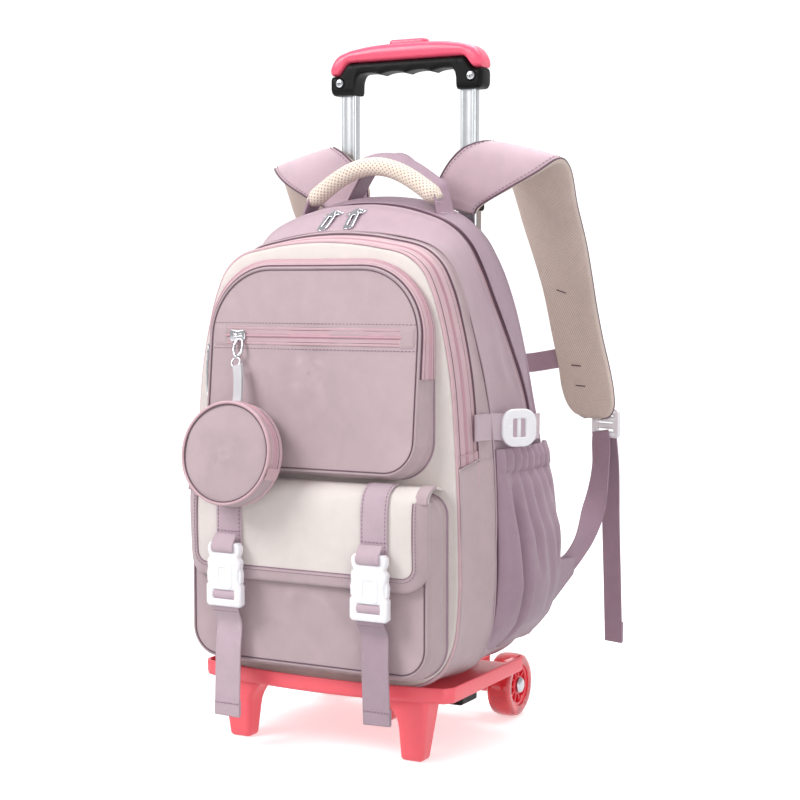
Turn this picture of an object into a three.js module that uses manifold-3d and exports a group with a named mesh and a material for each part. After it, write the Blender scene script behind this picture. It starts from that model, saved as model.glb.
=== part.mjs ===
// Wheeled school backpack: a soft bag on a moulded tray with two front legs, two wheels and a
// pull-out handle. Millimetres, +Z up, the bag's front faces -Y, x = 0 is the plane of symmetry.
// The bag is built as the real one is sewn: gusset bands and zips between the outlines of its
// panels, so the main form is a true hollow with cloth walls.
import * as THREE from 'three';
import { mergeVertices } from 'three/addons/utils/BufferGeometryUtils.js';
import Module from 'manifold-3d';

const wasm = await Module();
wasm.setup();

// Driving dimensions: clearances and walls
const CLEAR = 0.3; // gap between pieces that touch
const CLOTH = 2; // cloth wall of the bag
const THIN_CLOTH = 1.5; // cloth of the pockets and zips
const WEBBING = 1.6; // thickness of every webbing strap
const SLIDE_CLEAR = 0.4; // all round play of the sliding tubes
const TURN_CLEAR = 0.4; // play between the axle and what turns or holds it

// Driving dimensions: the bag
const BAG_HALF = 147; // half width at the widest seam
const BAG_TOP = 508; // crest of the top
const BAG_BOTTOM = 62; // lowest cloth, inside the tray's rim
const BAG_FRONT = -147; // plane of the cream front
const BAG_BACK = 4; // plane where the back panel starts
const BACK_PANEL_THICK = 8; // padded
const FRONT_INSET = 2.5; // how far the cream front stays inside the zip's piping
const SECOND_ZIP_END = 265; // height where the front zip stops
const MAIN_ZIP_END = 292; // height where the main zip stops

// Driving dimensions: pockets on the front
const UPPER_HALF = 108;
const UPPER_TOP = 438;
const UPPER_BOTTOM = 258;
const UPPER_DEPTH_LOW = 27; // how far its face stands out at the bottom
const UPPER_DEPTH_HIGH = 9; // and at the top
const POCKET_FLARE = 6; // how much wider a pocket is at its seam than at its face
const UPPER_ZIP_END = 342; // height where the arched zip stops
const UPPER_ZIP_WIDE = 7;
const LEVEL_ZIP_HEIGHT = 377;
const LEVEL_ZIP_WIDE = 15;
const LEVEL_ZIP_HALF = 103;
const LOWER_HALF = 121;
const LOWER_TOP = 234;
const LOWER_BOTTOM = 82;
const LOWER_DEPTH = 27;
const FLAP_HALF = 123;
const FLAP_LOW = 158;
const FLAP_CORNER = 22;
const BINDING_WIDE = 11;

// Driving dimensions: webbing and buckles on the front
const FRONT_STRAP_X = 75;
const FRONT_STRAP_WIDE = 27;
const BUCKLE_TOP = 189;
const BUCKLE_LONG = 55;
const BUCKLE_WIDE = 34;
const BUCKLE_THICK = 8;
const TAIL_END_LEFT = 29;
const TAIL_END_RIGHT = 39;

// Driving dimensions: side pockets and side straps
const SIDE_POCKET_TOP = 276;
const SIDE_POCKET_BULGE = 14;
const SIDE_POCKET_MOUTH = 9; // how far the elastic top stands off the bag
const SIDE_STRAP_HEIGHT = 297;
const SIDE_STRAP_WIDE = 24;
const SLIDER_HIGH = 33;
const SLIDER_LONG = 31;
const SLIDER_THICK = 4;

// Driving dimensions: handles and shoulder straps
const HANDLE_HALF = 66; // half of the carry handle's span
const HANDLE_RISE = 34; // height of its middle over its ends
const HANDLE_TUBE = 9; // radius of the padded mesh tube
const HANDLE_BAND_WIDE = 27;
const LOOP_HALF = 42;
const LOOP_RISE = 44;
const LOOP_WIDE = 27;
const PAD_THICK = 10;
const PAD_ROOT_INNER = 36; // where its root is sewn to the back seam
const PAD_ROOT_OUTER = 80;
const PAD_ROOT_Y = 7;
const TAIL_WIDE = 23;
const LOCK_WIDE = 34;
const LOCK_HIGH = 27;
const LOCK_THICK = 4;
const STRAP_TAIL_END = 57; // height of the free end of the strap's tail
const TAB_JOIN_Y = 90; // where the lower webbing meets the corner tab
const TAB_JOIN_HEIGHT = 152;
const TAB_ROOT_HEIGHT = 128; // middle of the tab's wide end, on the back seam
const TAB_ROOT_WIDE = 66;
const TAB_STAND_OFF = 9;
const CHEST_WIDE = 20;
const CHEST_HEIGHT = 347;
const CHEST_SAG = 9;
const CHEST_BOW = 10; // how far its middle hangs back
const CLASP_LONG = 44;
const CLASP_HIGH = 26;
const CLASP_THICK = 5;

// Driving dimensions: trolley
const TUBE_X = 65.8;
const TUBE_Y = 20;
const TUBE_WIDE = 17; // inner tube
const TUBE_DEEP = 10;
const TUBE_WALL = 1.2;
const INNER_TUBE_LONG = 420;
const OUTER_TUBE_TOP = BAG_TOP - 8;
const HANDLE_OUT = 110; // how far the handle stands pulled out in the photo
const GRIP_BOTTOM = OUTER_TUBE_TOP + HANDLE_OUT; // underside of the end blocks
const GRIP_HALF = 82.6;
const GRIP_HIGH = 48;
const GRIP_TOP = GRIP_BOTTOM + GRIP_HIGH;
const GRIP_DEEP = 25;
const GRIP_BLOCK = 26; // width of each end block
const GRIP_BAR = 19; // how far the end blocks hang below the middle bar
const GRIP_BAR_LOW = GRIP_BOTTOM + GRIP_BAR;
const GRIP_SPLIT = 17; // thickness of the pink shell at the middle
const GRIP_DROP = 12; // how far the shell's top falls towards its ends
const BUTTON_LONG = 40;
const BUTTON_DEEP = 11;
const BUTTON_PROUD = 4;
const BUTTON_TRAVEL = 3;

// Driving dimensions: tray, legs and wheels
const TRAY_HALF = 131;
const TRAY_FRONT = -149;
const TRAY_BOW = 16; // how far the front edge bows out at its middle
const TRAY_REAR = 4;
const TRAY_THICK = 7;
const TRAY_FLOOR = BAG_BOTTOM - CLEAR - TRAY_THICK; // underside of the floor that carries the bag
const RIM_TOP = 69;
const RIM_WALL = 3;
const LEG_X = 91; // middle of a front leg's foot
const LEG_WIDE = 22;
const LEG_DEEP = 18;
const LEG_SPLAY = 24; // how much wider a leg is at its top
const WHEEL_RADIUS = 31;
const WHEEL_WIDE = 24;
const WHEEL_X = 100;
const AXLE_Y = 42.3;
const HUB_RADIUS = 20;
const AXLE_RADIUS = 4;
const AXLE_CAP = 7.5;
const BOSS_RADIUS = 10;
const SPOKES = 6;

const PULL_THICK = 1.6; // metal pull tabs of the zips

// Driving dimensions: coin pouch
const POUCH_RADIUS = 47;
const POUCH_THICK = 25;
const POUCH_X = -63;
const POUCH_Y = -201;
const POUCH_HEIGHT = 272;
const POUCH_LEAN = 0.16; // it leans on the flap, top towards the bag
const CLIP_X = -77; // where the slider of the level zip stands
const RIBBON_WIDE = 9;

// The bag's arch seen from the front, from the middle of the floor round to the crest, as shares
// of the half width and of the height: a squarer arch at the front, a rounder one at the back
const ARCH = [
  // front across, front rise, back across, back rise
  [0.00, 0.000, 0.00, 0.000],
  [0.36, 0.001, 0.36, 0.001],
  [0.67, 0.010, 0.67, 0.012],
  [0.86, 0.045, 0.87, 0.050],
  [0.96, 0.105, 0.96, 0.115],
  [1.00, 0.210, 1.00, 0.210],
  [1.00, 0.330, 1.00, 0.330],
  [0.990, 0.450, 0.990, 0.450],
  [0.970, 0.580, 0.970, 0.565],
  [0.940, 0.700, 0.945, 0.670],
  [0.880, 0.810, 0.90, 0.770],
  [0.815, 0.886, 0.83, 0.850],
  [0.740, 0.937, 0.73, 0.912],
  [0.620, 0.970, 0.62, 0.948],
  [0.400, 0.988, 0.43, 0.978],
  [0.200, 0.997, 0.22, 0.995],
  [0.00, 1.000, 0.00, 1.000],
];

// The outlines that the bag is sewn between. Each is an arch at its own depth
const RINGS = {
  // share of the depth at the top, lean: further back low down, share of the half width,
  // share of the height, roundness, taper towards the top, lift of the floor
  front: [0.000, 0.000, 0.939, 0.897, 0.0, 0.00, 0.000],
  zipBack: [0.192, 0.020, 0.975, 0.913, 0.1, 0.00, 0.000],
  seam: [0.240, 0.093, 1.000, 0.917, 0.2, 0.00, 0.002],
  mainZipFront: [0.470, 0.397, 1.000, 0.973, 0.8, 0.00, 0.010],
  mainZipBack: [0.550, 0.377, 1.000, 0.978, 0.9, 0.02, 0.014],
  crest: [0.780, 0.187, 1.010, 1.000, 1.0, 0.16, 0.022],
  back: [1.000, 0.000, 1.010, 0.984, 1.0, 0.34, 0.050],
};
const RING_NAMES = Object.keys(RINGS);
const TAPER_START = 0.45; // rise above which a ring tapers
const LEAN_START = 0.86; // rise below which a ring leans back
const LEAN_END = 0.5;
const AROUND = 36; // points round an outline

// Materials
const COLOURS = {
  mauve: [0xc8b2bc, 0.6, 0],
  mauveDark: [0xa88f9c, 0.65, 0],
  cream: [0xf0e8e4, 0.7, 0],
  zipPink: [0xdeb4c4, 0.6, 0],
  webbing: [0xc3a8b6, 0.7, 0],
  mesh: [0xebdecd, 0.85, 0],
  whitePlastic: [0xf0eef2, 0.35, 0],
  coral: [0xff6469, 0.45, 0],
  gripPink: [0xff6987, 0.4, 0],
  black: [0x181818, 0.5, 0],
  aluminium: [0xc8ccd0, 0.25, 1],
  chrome: [0xd8d8dc, 0.15, 1],
  tyreRed: [0xe04050, 0.3, 0],
};

const bag = new THREE.Group();

function material(colour) {
  const [hex, roughness, metalness] = COLOURS[colour];
  return new THREE.MeshStandardMaterial({ color: hex, roughness, metalness, side: THREE.DoubleSide });
}

function add(name, geometry, colour) {
  const mesh = new THREE.Mesh(geometry, material(colour));
  mesh.name = name;
  bag.add(mesh);
  return mesh;
}

const vec = (x, y, z) => new THREE.Vector3(x, y, z);
const mix = (a, b, t) => a + (b - a) * t;
const clamp01 = (t) => Math.min(1, Math.max(0, t));
const smooth = (t) => clamp01(t) * clamp01(t) * (3 - 2 * clamp01(t));

// A closed body through a row of closed sections with the same number of points. A loop joins the
// last section to the first, and otherwise both ends are capped
function skinned(sections, loop = false, paired = false) {
  const count = sections[0].length;
  const positions = sections.flat().flatMap((p) => [p.x, p.y, p.z]);
  const index = [];
  const spans = loop ? sections.length : sections.length - 1;
  for (let i = 0; i < spans; i++) {
    const a = i * count;
    const b = ((i + 1) % sections.length) * count;
    for (let j = 0; j < count; j++) {
      const k = (j + 1) % count;
      if (paired && j >= count / 2) {
        index.push(a + j, b + j, a + k, b + j, b + k, a + k);
      } else {
        index.push(a + j, b + j, b + k, a + j, b + k, a + k);
      }
    }
  }
  if (!loop) {
    index.push(...cap(sections[0]).flat());
    const last = (sections.length - 1) * count;
    index.push(...cap(sections.at(-1)).flatMap(([p, q, r]) => [p, r, q]).map((n) => n + last));
  }
  const geometry = new THREE.BufferGeometry();
  geometry.setAttribute('position', new THREE.Float32BufferAttribute(positions, 3));
  geometry.setIndex(index);
  return facingOut(geometry);
}

// Triangles over one section, as a strip that zigzags between its two halves
function cap(section) {
  const triangles = [];
  let low = 0;
  let high = section.length - 1;
  while (low < high - 1) {
    triangles.push([low, low + 1, high]);
    low += 1;
    if (low < high - 1) {
      triangles.push([low, high - 1, high]);
      high -= 1;
    }
  }
  return triangles;
}

// Turns a closed body's faces outward
function facingOut(geometry) {
  const place = geometry.getAttribute('position');
  const index = geometry.getIndex();
  const [a, b, c] = [vec(), vec(), vec()];
  let volume = 0;
  for (let i = 0; i < index.count; i += 3) {
    a.fromBufferAttribute(place, index.getX(i));
    b.fromBufferAttribute(place, index.getX(i + 1));
    c.fromBufferAttribute(place, index.getX(i + 2));
    volume += a.dot(b.cross(c));
  }
  if (volume < 0) {
    const turned = Array.from(index.array);
    for (let i = 0; i < turned.length; i += 3) {
      [turned[i + 1], turned[i + 2]] = [turned[i + 2], turned[i + 1]];
    }
    geometry.setIndex(turned);
  }
  return geometry;
}

// A body with its shared vertices merged, and nothing but positions
function welded(geometry) {
  const bare = new THREE.BufferGeometry();
  bare.setAttribute('position', geometry.getAttribute('position').clone());
  if (geometry.getIndex()) {
    bare.setIndex(geometry.getIndex().clone());
  }
  return facingOut(mergeVertices(bare, 1e-4));
}

// The mirror image of a body in the plane x = 0
function mirrored(geometry) {
  return facingOut(welded(geometry).scale(-1, 1, 1));
}

// Boolean work: a closed three.js body as a solid and back
function solid(geometry) {
  const merged = welded(geometry);
  return new wasm.Manifold(new wasm.Mesh({
    numProp: 3,
    vertProperties: new Float32Array(merged.getAttribute('position').array),
    triVerts: new Uint32Array(merged.getIndex().array),
  }));
}

function body(manifold) {
  const mesh = manifold.getMesh();
  const geometry = new THREE.BufferGeometry();
  geometry.setAttribute('position', new THREE.Float32BufferAttribute(mesh.vertProperties, 3));
  geometry.setIndex(Array.from(mesh.triVerts));
  return geometry;
}

function boxBetween(x0, x1, y0, y1, z0, z1) {
  const box = new THREE.BoxGeometry(x1 - x0, y1 - y0, z1 - z0);
  return box.translate((x0 + x1) / 2, (y0 + y1) / 2, (z0 + z1) / 2);
}

// A flat outline in the XZ plane, extruded along Y from front to back
function plateXZ(shape, front, back) {
  const plate = new THREE.ExtrudeGeometry(shape, { depth: back - front, bevelEnabled: false, curveSegments: 2 });
  return plate.rotateX(Math.PI / 2).translate(0, back, 0);
}

function roundedShape(left, right, low, high, radius, Kind = THREE.Shape) {
  const s = new Kind();
  s.moveTo(left + radius, low);
  s.lineTo(right - radius, low);
  s.absarc(right - radius, low + radius, radius, -Math.PI / 2, 0);
  s.lineTo(right, high - radius);
  s.absarc(right - radius, high - radius, radius, 0, Math.PI / 2);
  s.lineTo(left + radius, high);
  s.absarc(left + radius, high - radius, radius, Math.PI / 2, Math.PI);
  s.lineTo(left, low + radius);
  s.absarc(left + radius, low + radius, radius, Math.PI, Math.PI * 1.5);
  return s;
}

// A plain slot through a plate
function slot(left, right, low, high) {
  const s = new THREE.Path();
  s.moveTo(left, low);
  s.lineTo(right, low);
  s.lineTo(right, high);
  s.lineTo(left, high);
  return s;
}

// One outline of the bag as a closed curve: it starts at the middle of the floor and turns by +X
function ringCurve([deep, lean, wide, high, round, taper, lift]) {
  const floor = BAG_BOTTOM + lift * (BAG_TOP - BAG_BOTTOM);
  const crest = BAG_BOTTOM + high * (BAG_TOP - BAG_BOTTOM);
  const half = wide * BAG_HALF;
  const depth = BAG_BACK - BAG_FRONT;
  const side = ARCH.map(([frontAcross, frontRise, backAcross, backRise]) => {
    const rise = mix(frontRise, backRise, round);
    const pull = 1 - taper * Math.max(0, rise - TAPER_START);
    const slip = lean * smooth((LEAN_START - rise) / (LEAN_START - LEAN_END));
    const y = BAG_FRONT + depth * (deep + slip);
    return vec(half * pull * mix(frontAcross, backAcross, round), y, mix(floor, crest, rise));
  });
  const other = side.slice(1, -1).reverse().map((p) => vec(-p.x, p.y, p.z));
  return new THREE.CatmullRomCurve3([...side, ...other], true, 'centripetal');
}

const CURVES = RING_NAMES.map((name) => ringCurve(RINGS[name]));
const ringAt = (name) => RING_NAMES.indexOf(name);

// A point of the bag's skin: u goes once round the arch, s counts the rings from front to back
function skin(u, s) {
  const low = Math.min(RING_NAMES.length - 2, Math.floor(s));
  return CURVES[low].getPoint(u % 1).lerp(CURVES[low + 1].getPoint(u % 1), s - low);
}

// The skin's outward direction seen from the front
function outward(u, s) {
  const step = 0.004;
  const along = skin(u + step, s).sub(skin(u + 1 - step, s));
  return vec(along.z, 0, -along.x).normalize();
}

// Where the right side of a ring reaches a height
function uAtHeight(s, height) {
  let low = 0.1;
  let high = 0.5;
  for (let i = 0; i < 30; i++) {
    const middle = (low + high) / 2;
    if (skin(middle, s).z < height) {
      low = middle;
    } else {
      high = middle;
    }
  }
  return low;
}

// A band of cloth on the skin, between two rings that may change round the arch
function band(us, frontOf, backOf, stations, wall, loop, lifted = 0) {
  const sections = us.map((u) => {
    const outer = [];
    const inner = [];
    for (let i = 0; i <= stations; i++) {
      const s = mix(frontOf(u), backOf(u), i / stations);
      const shift = i === 0 ? CLEAR / 2 : i === stations ? -CLEAR / 2 : 0;
      const p = skin(u, s).add(vec(0, shift, 0));
      const n = outward(u, s);
      outer.push(p.clone().addScaledVector(n, lifted));
      inner.push(p.clone().addScaledVector(n, lifted - wall));
    }
    return [...outer, ...inner.reverse()];
  });
  return skinned(sections, loop);
}

const SHARP = 0.0005; // a step in a band's edge turns within this share of the outline
const secondEnd = uAtHeight(0.5, SECOND_ZIP_END);
const mainEnd = uAtHeight(3.5, MAIN_ZIP_END);

// The outline positions that every band and panel shares, with a close pair at each zip's end
const EVEN = Array.from({ length: AROUND }, (_, i) => i / AROUND);
const STEPS = [secondEnd, mainEnd].flatMap((end) => [end - SHARP, end, 1 - end, 1 - end + SHARP]);
const POSITIONS = [...EVEN, ...STEPS].sort((a, b) => a - b);
const isOver = (u, uEnd) => u >= uEnd && u <= 1 - uEnd;

// The positions of a zip, from its end on the right over the top to its end on the left
function overTop(uEnd) {
  const gap = CLEAR / (4 * BAG_HALF);
  return [uEnd + gap, ...POSITIONS.filter((u) => u > uEnd + gap && u < 1 - uEnd - gap), 1 - uEnd - gap];
}

// The bag's main shell
function mainBag() {
  const front = () => ringAt('front');
  const zipBack = () => ringAt('zipBack');
  const mainFront = () => ringAt('mainZipFront');
  const mainBack = () => ringAt('mainZipBack');
  const frontEdge = (u) => (isOver(u, secondEnd) ? zipBack() : front());
  const bodyEdge = (u) => (isOver(u, mainEnd) ? mainBack() : mainFront());
  add('second_zip', band(overTop(secondEnd), front, zipBack, 2, CLOTH, false), 'zipPink');
  add('main_zip', band(overTop(mainEnd), mainFront, mainBack, 1, CLOTH, false), 'zipPink');
  add('front_band', band(POSITIONS, frontEdge, mainFront, 4, CLOTH, true), 'mauve');
  add('main_body', band(POSITIONS, bodyEdge, () => ringAt('back'), 4, CLOTH, true), 'mauveDark');
}

// A panel whose rim follows a row of points: rings of shrinking copies, front then back
function panel(rim, middle, thick, crown, shares) {
  const ring = (share, y, swell) => rim.map((p) => {
    const q = middle.clone().lerp(p, share);
    return vec(q.x, p.y * share + (1 - share) * middle.y + y + swell * (1 - share * share), q.z);
  });
  const front = shares.map((share) => ring(share, 0, crown));
  const back = shares.map((share) => ring(share, thick, crown)).reverse();
  return skinned([...front.reverse(), ...back.reverse()]);
}

function panels() {
  const us = EVEN;
  const front = ringAt('front');
  const frontRim = us.map((u) => {
    const n = outward(u, front);
    return skin(u, front).addScaledVector(n, -FRONT_INSET).add(vec(0, -CLEAR / 2 - CLOTH, 0));
  });
  const centre = vec(0, BAG_FRONT - CLEAR / 2 - CLOTH, (BAG_TOP + BAG_BOTTOM) / 2);
  add('front_panel', panel(frontRim, centre, CLOTH, 0, [1, 0.5]), 'cream');
  const back = ringAt('back');
  const backRim = us.map((u) => skin(u, back).add(vec(0, CLEAR / 2, 0)));
  const backCentre = vec(0, BAG_BACK + CLEAR / 2, (BAG_TOP + BAG_BOTTOM) / 2);
  const soft = 0.97;
  const rings = [[0.5, 0], [1, 0], [1, BACK_PANEL_THICK * 0.5], [soft, BACK_PANEL_THICK], [0.5, BACK_PANEL_THICK]];
  const sections = rings.map(([share, y]) => backRim.map((p) => {
    return backCentre.clone().lerp(p, share).add(vec(0, y, 0));
  }));
  add('back_panel', skinned(sections), 'mauve');
}

// A rounded pocket outline: half width, top and bottom, with its own corner sizes
function pocketOutline(half, top, bottom, topCorner, bottomCorner, dome) {
  const points = [];
  const arc = 5;
  for (let i = 0; i <= arc; i++) {
    const a = (i / arc) * Math.PI / 2;
    points.push([half - bottomCorner + bottomCorner * Math.sin(a), bottom + bottomCorner * (1 - Math.cos(a))]);
  }
  for (let i = 0; i <= arc; i++) {
    const a = (i / arc) * Math.PI / 2;
    const [across, drop] = topCorner;
    points.push([half - across + across * Math.cos(a), top - dome - drop + drop * Math.sin(a)]);
  }
  const left = [...points].reverse().map(([x, z]) => [-x, z]);
  return [...points, [0, top], ...left, [0, bottom]];
}

const FACE_PLANE = BAG_FRONT - CLEAR / 2 - CLOTH; // front of the cream panel
const UPPER_CORNER = [60, 62];
const UPPER_DOME = 3;
const LOW_CORNER = 30;

const upperFaceY = (z) => {
  const t = (z - UPPER_BOTTOM) / (UPPER_TOP - UPPER_BOTTOM);
  return FACE_PLANE - mix(UPPER_DEPTH_LOW, UPPER_DEPTH_HIGH, t);
};

// The raised upper pocket: a cup of cloth with its gusset flared to the cream front
function upperPocket() {
  const face = pocketOutline(UPPER_HALF, UPPER_TOP, UPPER_BOTTOM, UPPER_CORNER, LOW_CORNER, UPPER_DOME);
  const wide = pocketOutline(UPPER_HALF + POCKET_FLARE, UPPER_TOP + POCKET_FLARE / 2,
    UPPER_BOTTOM - POCKET_FLARE, UPPER_CORNER, LOW_CORNER, UPPER_DOME);
  const inner = pocketOutline(UPPER_HALF - THIN_CLOTH, UPPER_TOP - THIN_CLOTH, UPPER_BOTTOM + THIN_CLOTH,
    UPPER_CORNER, LOW_CORNER, UPPER_DOME);
  const wideInner = pocketOutline(UPPER_HALF + POCKET_FLARE - THIN_CLOTH, UPPER_TOP + POCKET_FLARE / 2 - THIN_CLOTH,
    UPPER_BOTTOM - POCKET_FLARE + THIN_CLOTH, UPPER_CORNER, LOW_CORNER, UPPER_DOME);
  const middle = (UPPER_TOP + UPPER_BOTTOM) / 2;
  const facing = (outline, share, back) => outline.map(([x, z]) => {
    const zz = mix(middle, z, share);
    return vec(x * share, upperFaceY(zz) + back, zz);
  });
  const seam = (outline) => outline.map(([x, z]) => vec(x, FACE_PLANE - CLEAR, z));
  const sections = [facing(face, 0.5, 0), facing(face, 0.985, 0), facing(face, 1, 2), seam(wide),
    seam(wideInner), facing(inner, 1, 2 + THIN_CLOTH), facing(inner, 0.5, THIN_CLOTH)];
  add('upper_pocket', skinned(sections), 'mauve');

  const zipSections = [];
  const count = face.length;
  for (let i = 0; i < count; i++) {
    const [x, z] = face[i];
    const [wx, wz] = wide[i];
    const y = upperFaceY(z) + 2;
    if (z < UPPER_ZIP_END - 1e-6 || x === 0 && z < middle) {
      continue;
    }
    zipSections.push(zipAcross(x, z, y, wx, wz));
  }
  const ends = [1, -1].map((side) => {
    const y = upperFaceY(UPPER_ZIP_END) + 2;
    return zipAcross(side * UPPER_HALF, UPPER_ZIP_END, y, side * (UPPER_HALF + POCKET_FLARE), UPPER_ZIP_END);
  });
  add('upper_zip', skinned([ends[0], ...zipSections, ends[1]]), 'zipPink');

  const proud = CLEAR;
  const front = (z) => upperFaceY(z) - proud;
  const half = LEVEL_ZIP_WIDE / 2;
  const slice = (x) => [LEVEL_ZIP_HEIGHT - half, LEVEL_ZIP_HEIGHT + half].flatMap((z, i) => {
    const pair = [vec(x, front(z), z), vec(x, front(z) - THIN_CLOTH, z)];
    return i ? pair.reverse() : pair;
  });
  add('pocket_zip', skinned([slice(-LEVEL_ZIP_HALF), slice(LEVEL_ZIP_HALF)]), 'zipPink');
}

const ZIP_LIFT = 0.4; // the arched zip over the flared gusset

// One cut of the arched zip: it lies on the gusset next to the face
function zipAcross(x, z, y, wx, wz) {
  const seamY = FACE_PLANE - CLEAR;
  const deep = Math.min(UPPER_ZIP_WIDE, (seamY - y) - 2);
  const t = deep / (seamY - y);
  const out = vec(wx - x, 0, wz - z).normalize();
  const near = vec(x, y, z).addScaledVector(out, CLEAR + ZIP_LIFT);
  const far = vec(mix(x, wx, t), y + deep, mix(z, wz, t)).addScaledVector(out, CLEAR + ZIP_LIFT);
  return [near, far, far.clone().addScaledVector(out, THIN_CLOTH), near.clone().addScaledVector(out, THIN_CLOTH)];
}

// The flap's surface: rows down its fall, as depth in front of the pocket and height shares
const FLAP_FALL = [
  // depth in front of the cream front as a share of the pocket's depth, fall as a share
  [0.02, -0.030],
  [0.45, -0.060],
  [0.88, -0.045],
  [1.18, 0.030],
  [1.29, 0.150],
  [1.32, 0.400],
  [1.30, 0.650],
  [1.27, 0.850],
  [1.26, 0.940],
  [1.25, 1.000],
];
const FLAP_TOP = LOWER_TOP + 8;
const FLAP_PROUD = 1.32; // its furthest point, as a share of the pocket's depth
const BINDING_LIFT = 1.2; // the bound edge over the flap's curved face
const FLAP_WRAP = 9; // how far the sides of the flap bend back

const flapCurve = new THREE.CatmullRomCurve3(FLAP_FALL.map(([deep, fall]) => {
  return vec(0, FACE_PLANE - CLEAR - deep * LOWER_DEPTH, mix(FLAP_TOP, FLAP_LOW, fall));
}), false, 'centripetal');

// A point on the flap: t down its fall, across in millimetres, out along its normal
function flapPoint(t, across, out) {
  const p = flapCurve.getPoint(t);
  const along = flapCurve.getTangent(t);
  const n = vec(0, along.z, -along.y);
  if (n.y > 0 || (Math.abs(n.y) < 0.2 && n.z < 0)) {
    n.negate();
  }
  const reach = Math.abs(across) / FLAP_HALF;
  const wrap = FLAP_WRAP * Math.max(0, reach - 0.8) ** 2 * 25 * clamp01(t * 3) * clamp01((p.z - FLAP_LOW) / 30 + 0.2);
  return p.addScaledVector(n, out).add(vec(across, wrap, 0));
}

// Half width of the flap at a height: round lower corners
function flapHalf(z, inset) {
  const radius = FLAP_CORNER - inset;
  const over = FLAP_LOW + FLAP_CORNER - z;
  const half = FLAP_HALF - inset;
  if (over <= 0) {
    return half;
  }
  const drop = Math.min(over, radius);
  return half - radius + Math.sqrt(Math.max(0, radius * radius - drop * drop));
}

const FLAP_TS = [0, 0.11, 0.22, 0.33, 0.45, 0.6, 0.75, 0.82, 0.88, 0.93, 0.965, 0.985, 1];
const FLAP_ACROSS = [-1, -0.9, -0.75, -0.35, 0.35, 0.75, 0.9, 1];

function flap() {
  const sections = FLAP_TS.map((t) => {
    const half = flapHalf(flapCurve.getPoint(t).z, 0);
    const outer = FLAP_ACROSS.map((a) => flapPoint(t, a * half, CLOTH));
    const inner = FLAP_ACROSS.map((a) => flapPoint(t, a * half, 0)).reverse();
    return [...outer, ...inner];
  });
  add('flap', skinned(sections, false, true), 'cream');

  const low = CLOTH + BINDING_LIFT;
  const high = low + THIN_CLOTH;
  const rows = [];
  const cut = (t, outer, inner) => [flapPoint(t[0], outer, low), flapPoint(t[1], inner, low),
    flapPoint(t[1], inner, high), flapPoint(t[0], outer, high)];
  const start = 0.2;
  const cornerTop = FLAP_LOW + FLAP_CORNER + 3;
  const sideTs = FLAP_TS.filter((t) => t >= start && flapCurve.getPoint(t).z > cornerTop);
  sideTs.forEach((t) => rows.push(cut([t, t], FLAP_HALF, FLAP_HALF - BINDING_WIDE)));
  const cornerSteps = 6;
  const tAtHeight = (z) => {
    let a = 0.4;
    let b = 1;
    for (let i = 0; i < 24; i++) {
      const m = (a + b) / 2;
      if (flapCurve.getPoint(m).z > z) {
        a = m;
      } else {
        b = m;
      }
    }
    return a;
  };
  for (let i = 0; i <= cornerSteps; i++) {
    const angle = (i / cornerSteps) * Math.PI / 2;
    const place = (radius) => [FLAP_HALF - FLAP_CORNER + radius * Math.cos(angle),
      FLAP_LOW + FLAP_CORNER - radius * Math.sin(angle)];
    const [xo, zo] = place(FLAP_CORNER);
    const [xi, zi] = place(FLAP_CORNER - BINDING_WIDE);
    rows.push(cut([tAtHeight(zo), tAtHeight(zi)], xo, xi));
  }
  const bottom = [tAtHeight(FLAP_LOW), tAtHeight(FLAP_LOW + BINDING_WIDE)];
  rows.push(cut(bottom, 30, 30));
  const flip = (row) => row.map((p) => vec(-p.x, p.y, p.z));
  const other = [...rows].reverse().map(flip);
  add('flap_binding', skinned([...rows, ...other], false, true), 'mauve');
}

// The bellows pocket under the flap: a cup with an open top
function lowerPocket() {
  const corner = [12, 12];
  const outline = (grow, trim) => pocketOutline(LOWER_HALF + grow - trim, LOWER_TOP + 12, LOWER_BOTTOM - grow + trim,
    corner, LOW_CORNER, 0);
  const middle = (LOWER_TOP + LOWER_BOTTOM) / 2;
  const at = (rim, share, y) => rim.map(([x, z]) => vec(x * share, y, mix(middle, z, share)));
  const faceY = FACE_PLANE - LOWER_DEPTH;
  const seamY = FACE_PLANE - CLEAR;
  const sections = [at(outline(0, 0), 0.5, faceY - 2), at(outline(0, 0), 0.97, faceY), at(outline(0, 0), 1, faceY + 3),
    at(outline(POCKET_FLARE, 0), 1, seamY), at(outline(POCKET_FLARE, THIN_CLOTH), 1, seamY),
    at(outline(0, THIN_CLOTH), 1, faceY + 3 + THIN_CLOTH), at(outline(0, 0), 0.5, faceY - 2 + THIN_CLOTH)];
  const wide = LOWER_HALF * 2;
  const mouth = boxBetween(-wide, wide, faceY - 30, FACE_PLANE + 30, LOWER_TOP, LOWER_TOP + 60);
  add('lower_pocket', body(solid(skinned(sections)).subtract(solid(mouth))), 'mauve');
}

// A flat strap along a row of points. Each section has its width direction
function strap(points, widths, wide, thick) {
  const sections = points.map((p, i) => {
    const before = points[Math.max(0, i - 1)];
    const after = points[Math.min(points.length - 1, i + 1)];
    const along = after.clone().sub(before).normalize();
    const across = widths[i].clone().normalize();
    across.addScaledVector(along, -across.dot(along)).normalize();
    const up = along.clone().cross(across);
    const half = (typeof wide === 'number' ? wide : wide[i]) / 2;
    return [[-1, -1], [1, -1], [1, 1], [-1, 1]].map(([a, b]) => {
      return p.clone().addScaledVector(across, a * half).addScaledVector(up, b * thick / 2);
    });
  });
  return skinned(sections, false, true);
}

const TAIL_RUN = [
  // share of the fall, share of the way back from the buckle to the pocket's face, shift outward
  [0.00, 0.00, 0.0],
  [0.04, 0.00, 0.0],
  [0.17, 0.85, 0.6],
  [0.40, 0.70, 1.4],
  [0.70, 0.70, 2.3],
  [1.00, 0.70, 3.2],
];

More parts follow.
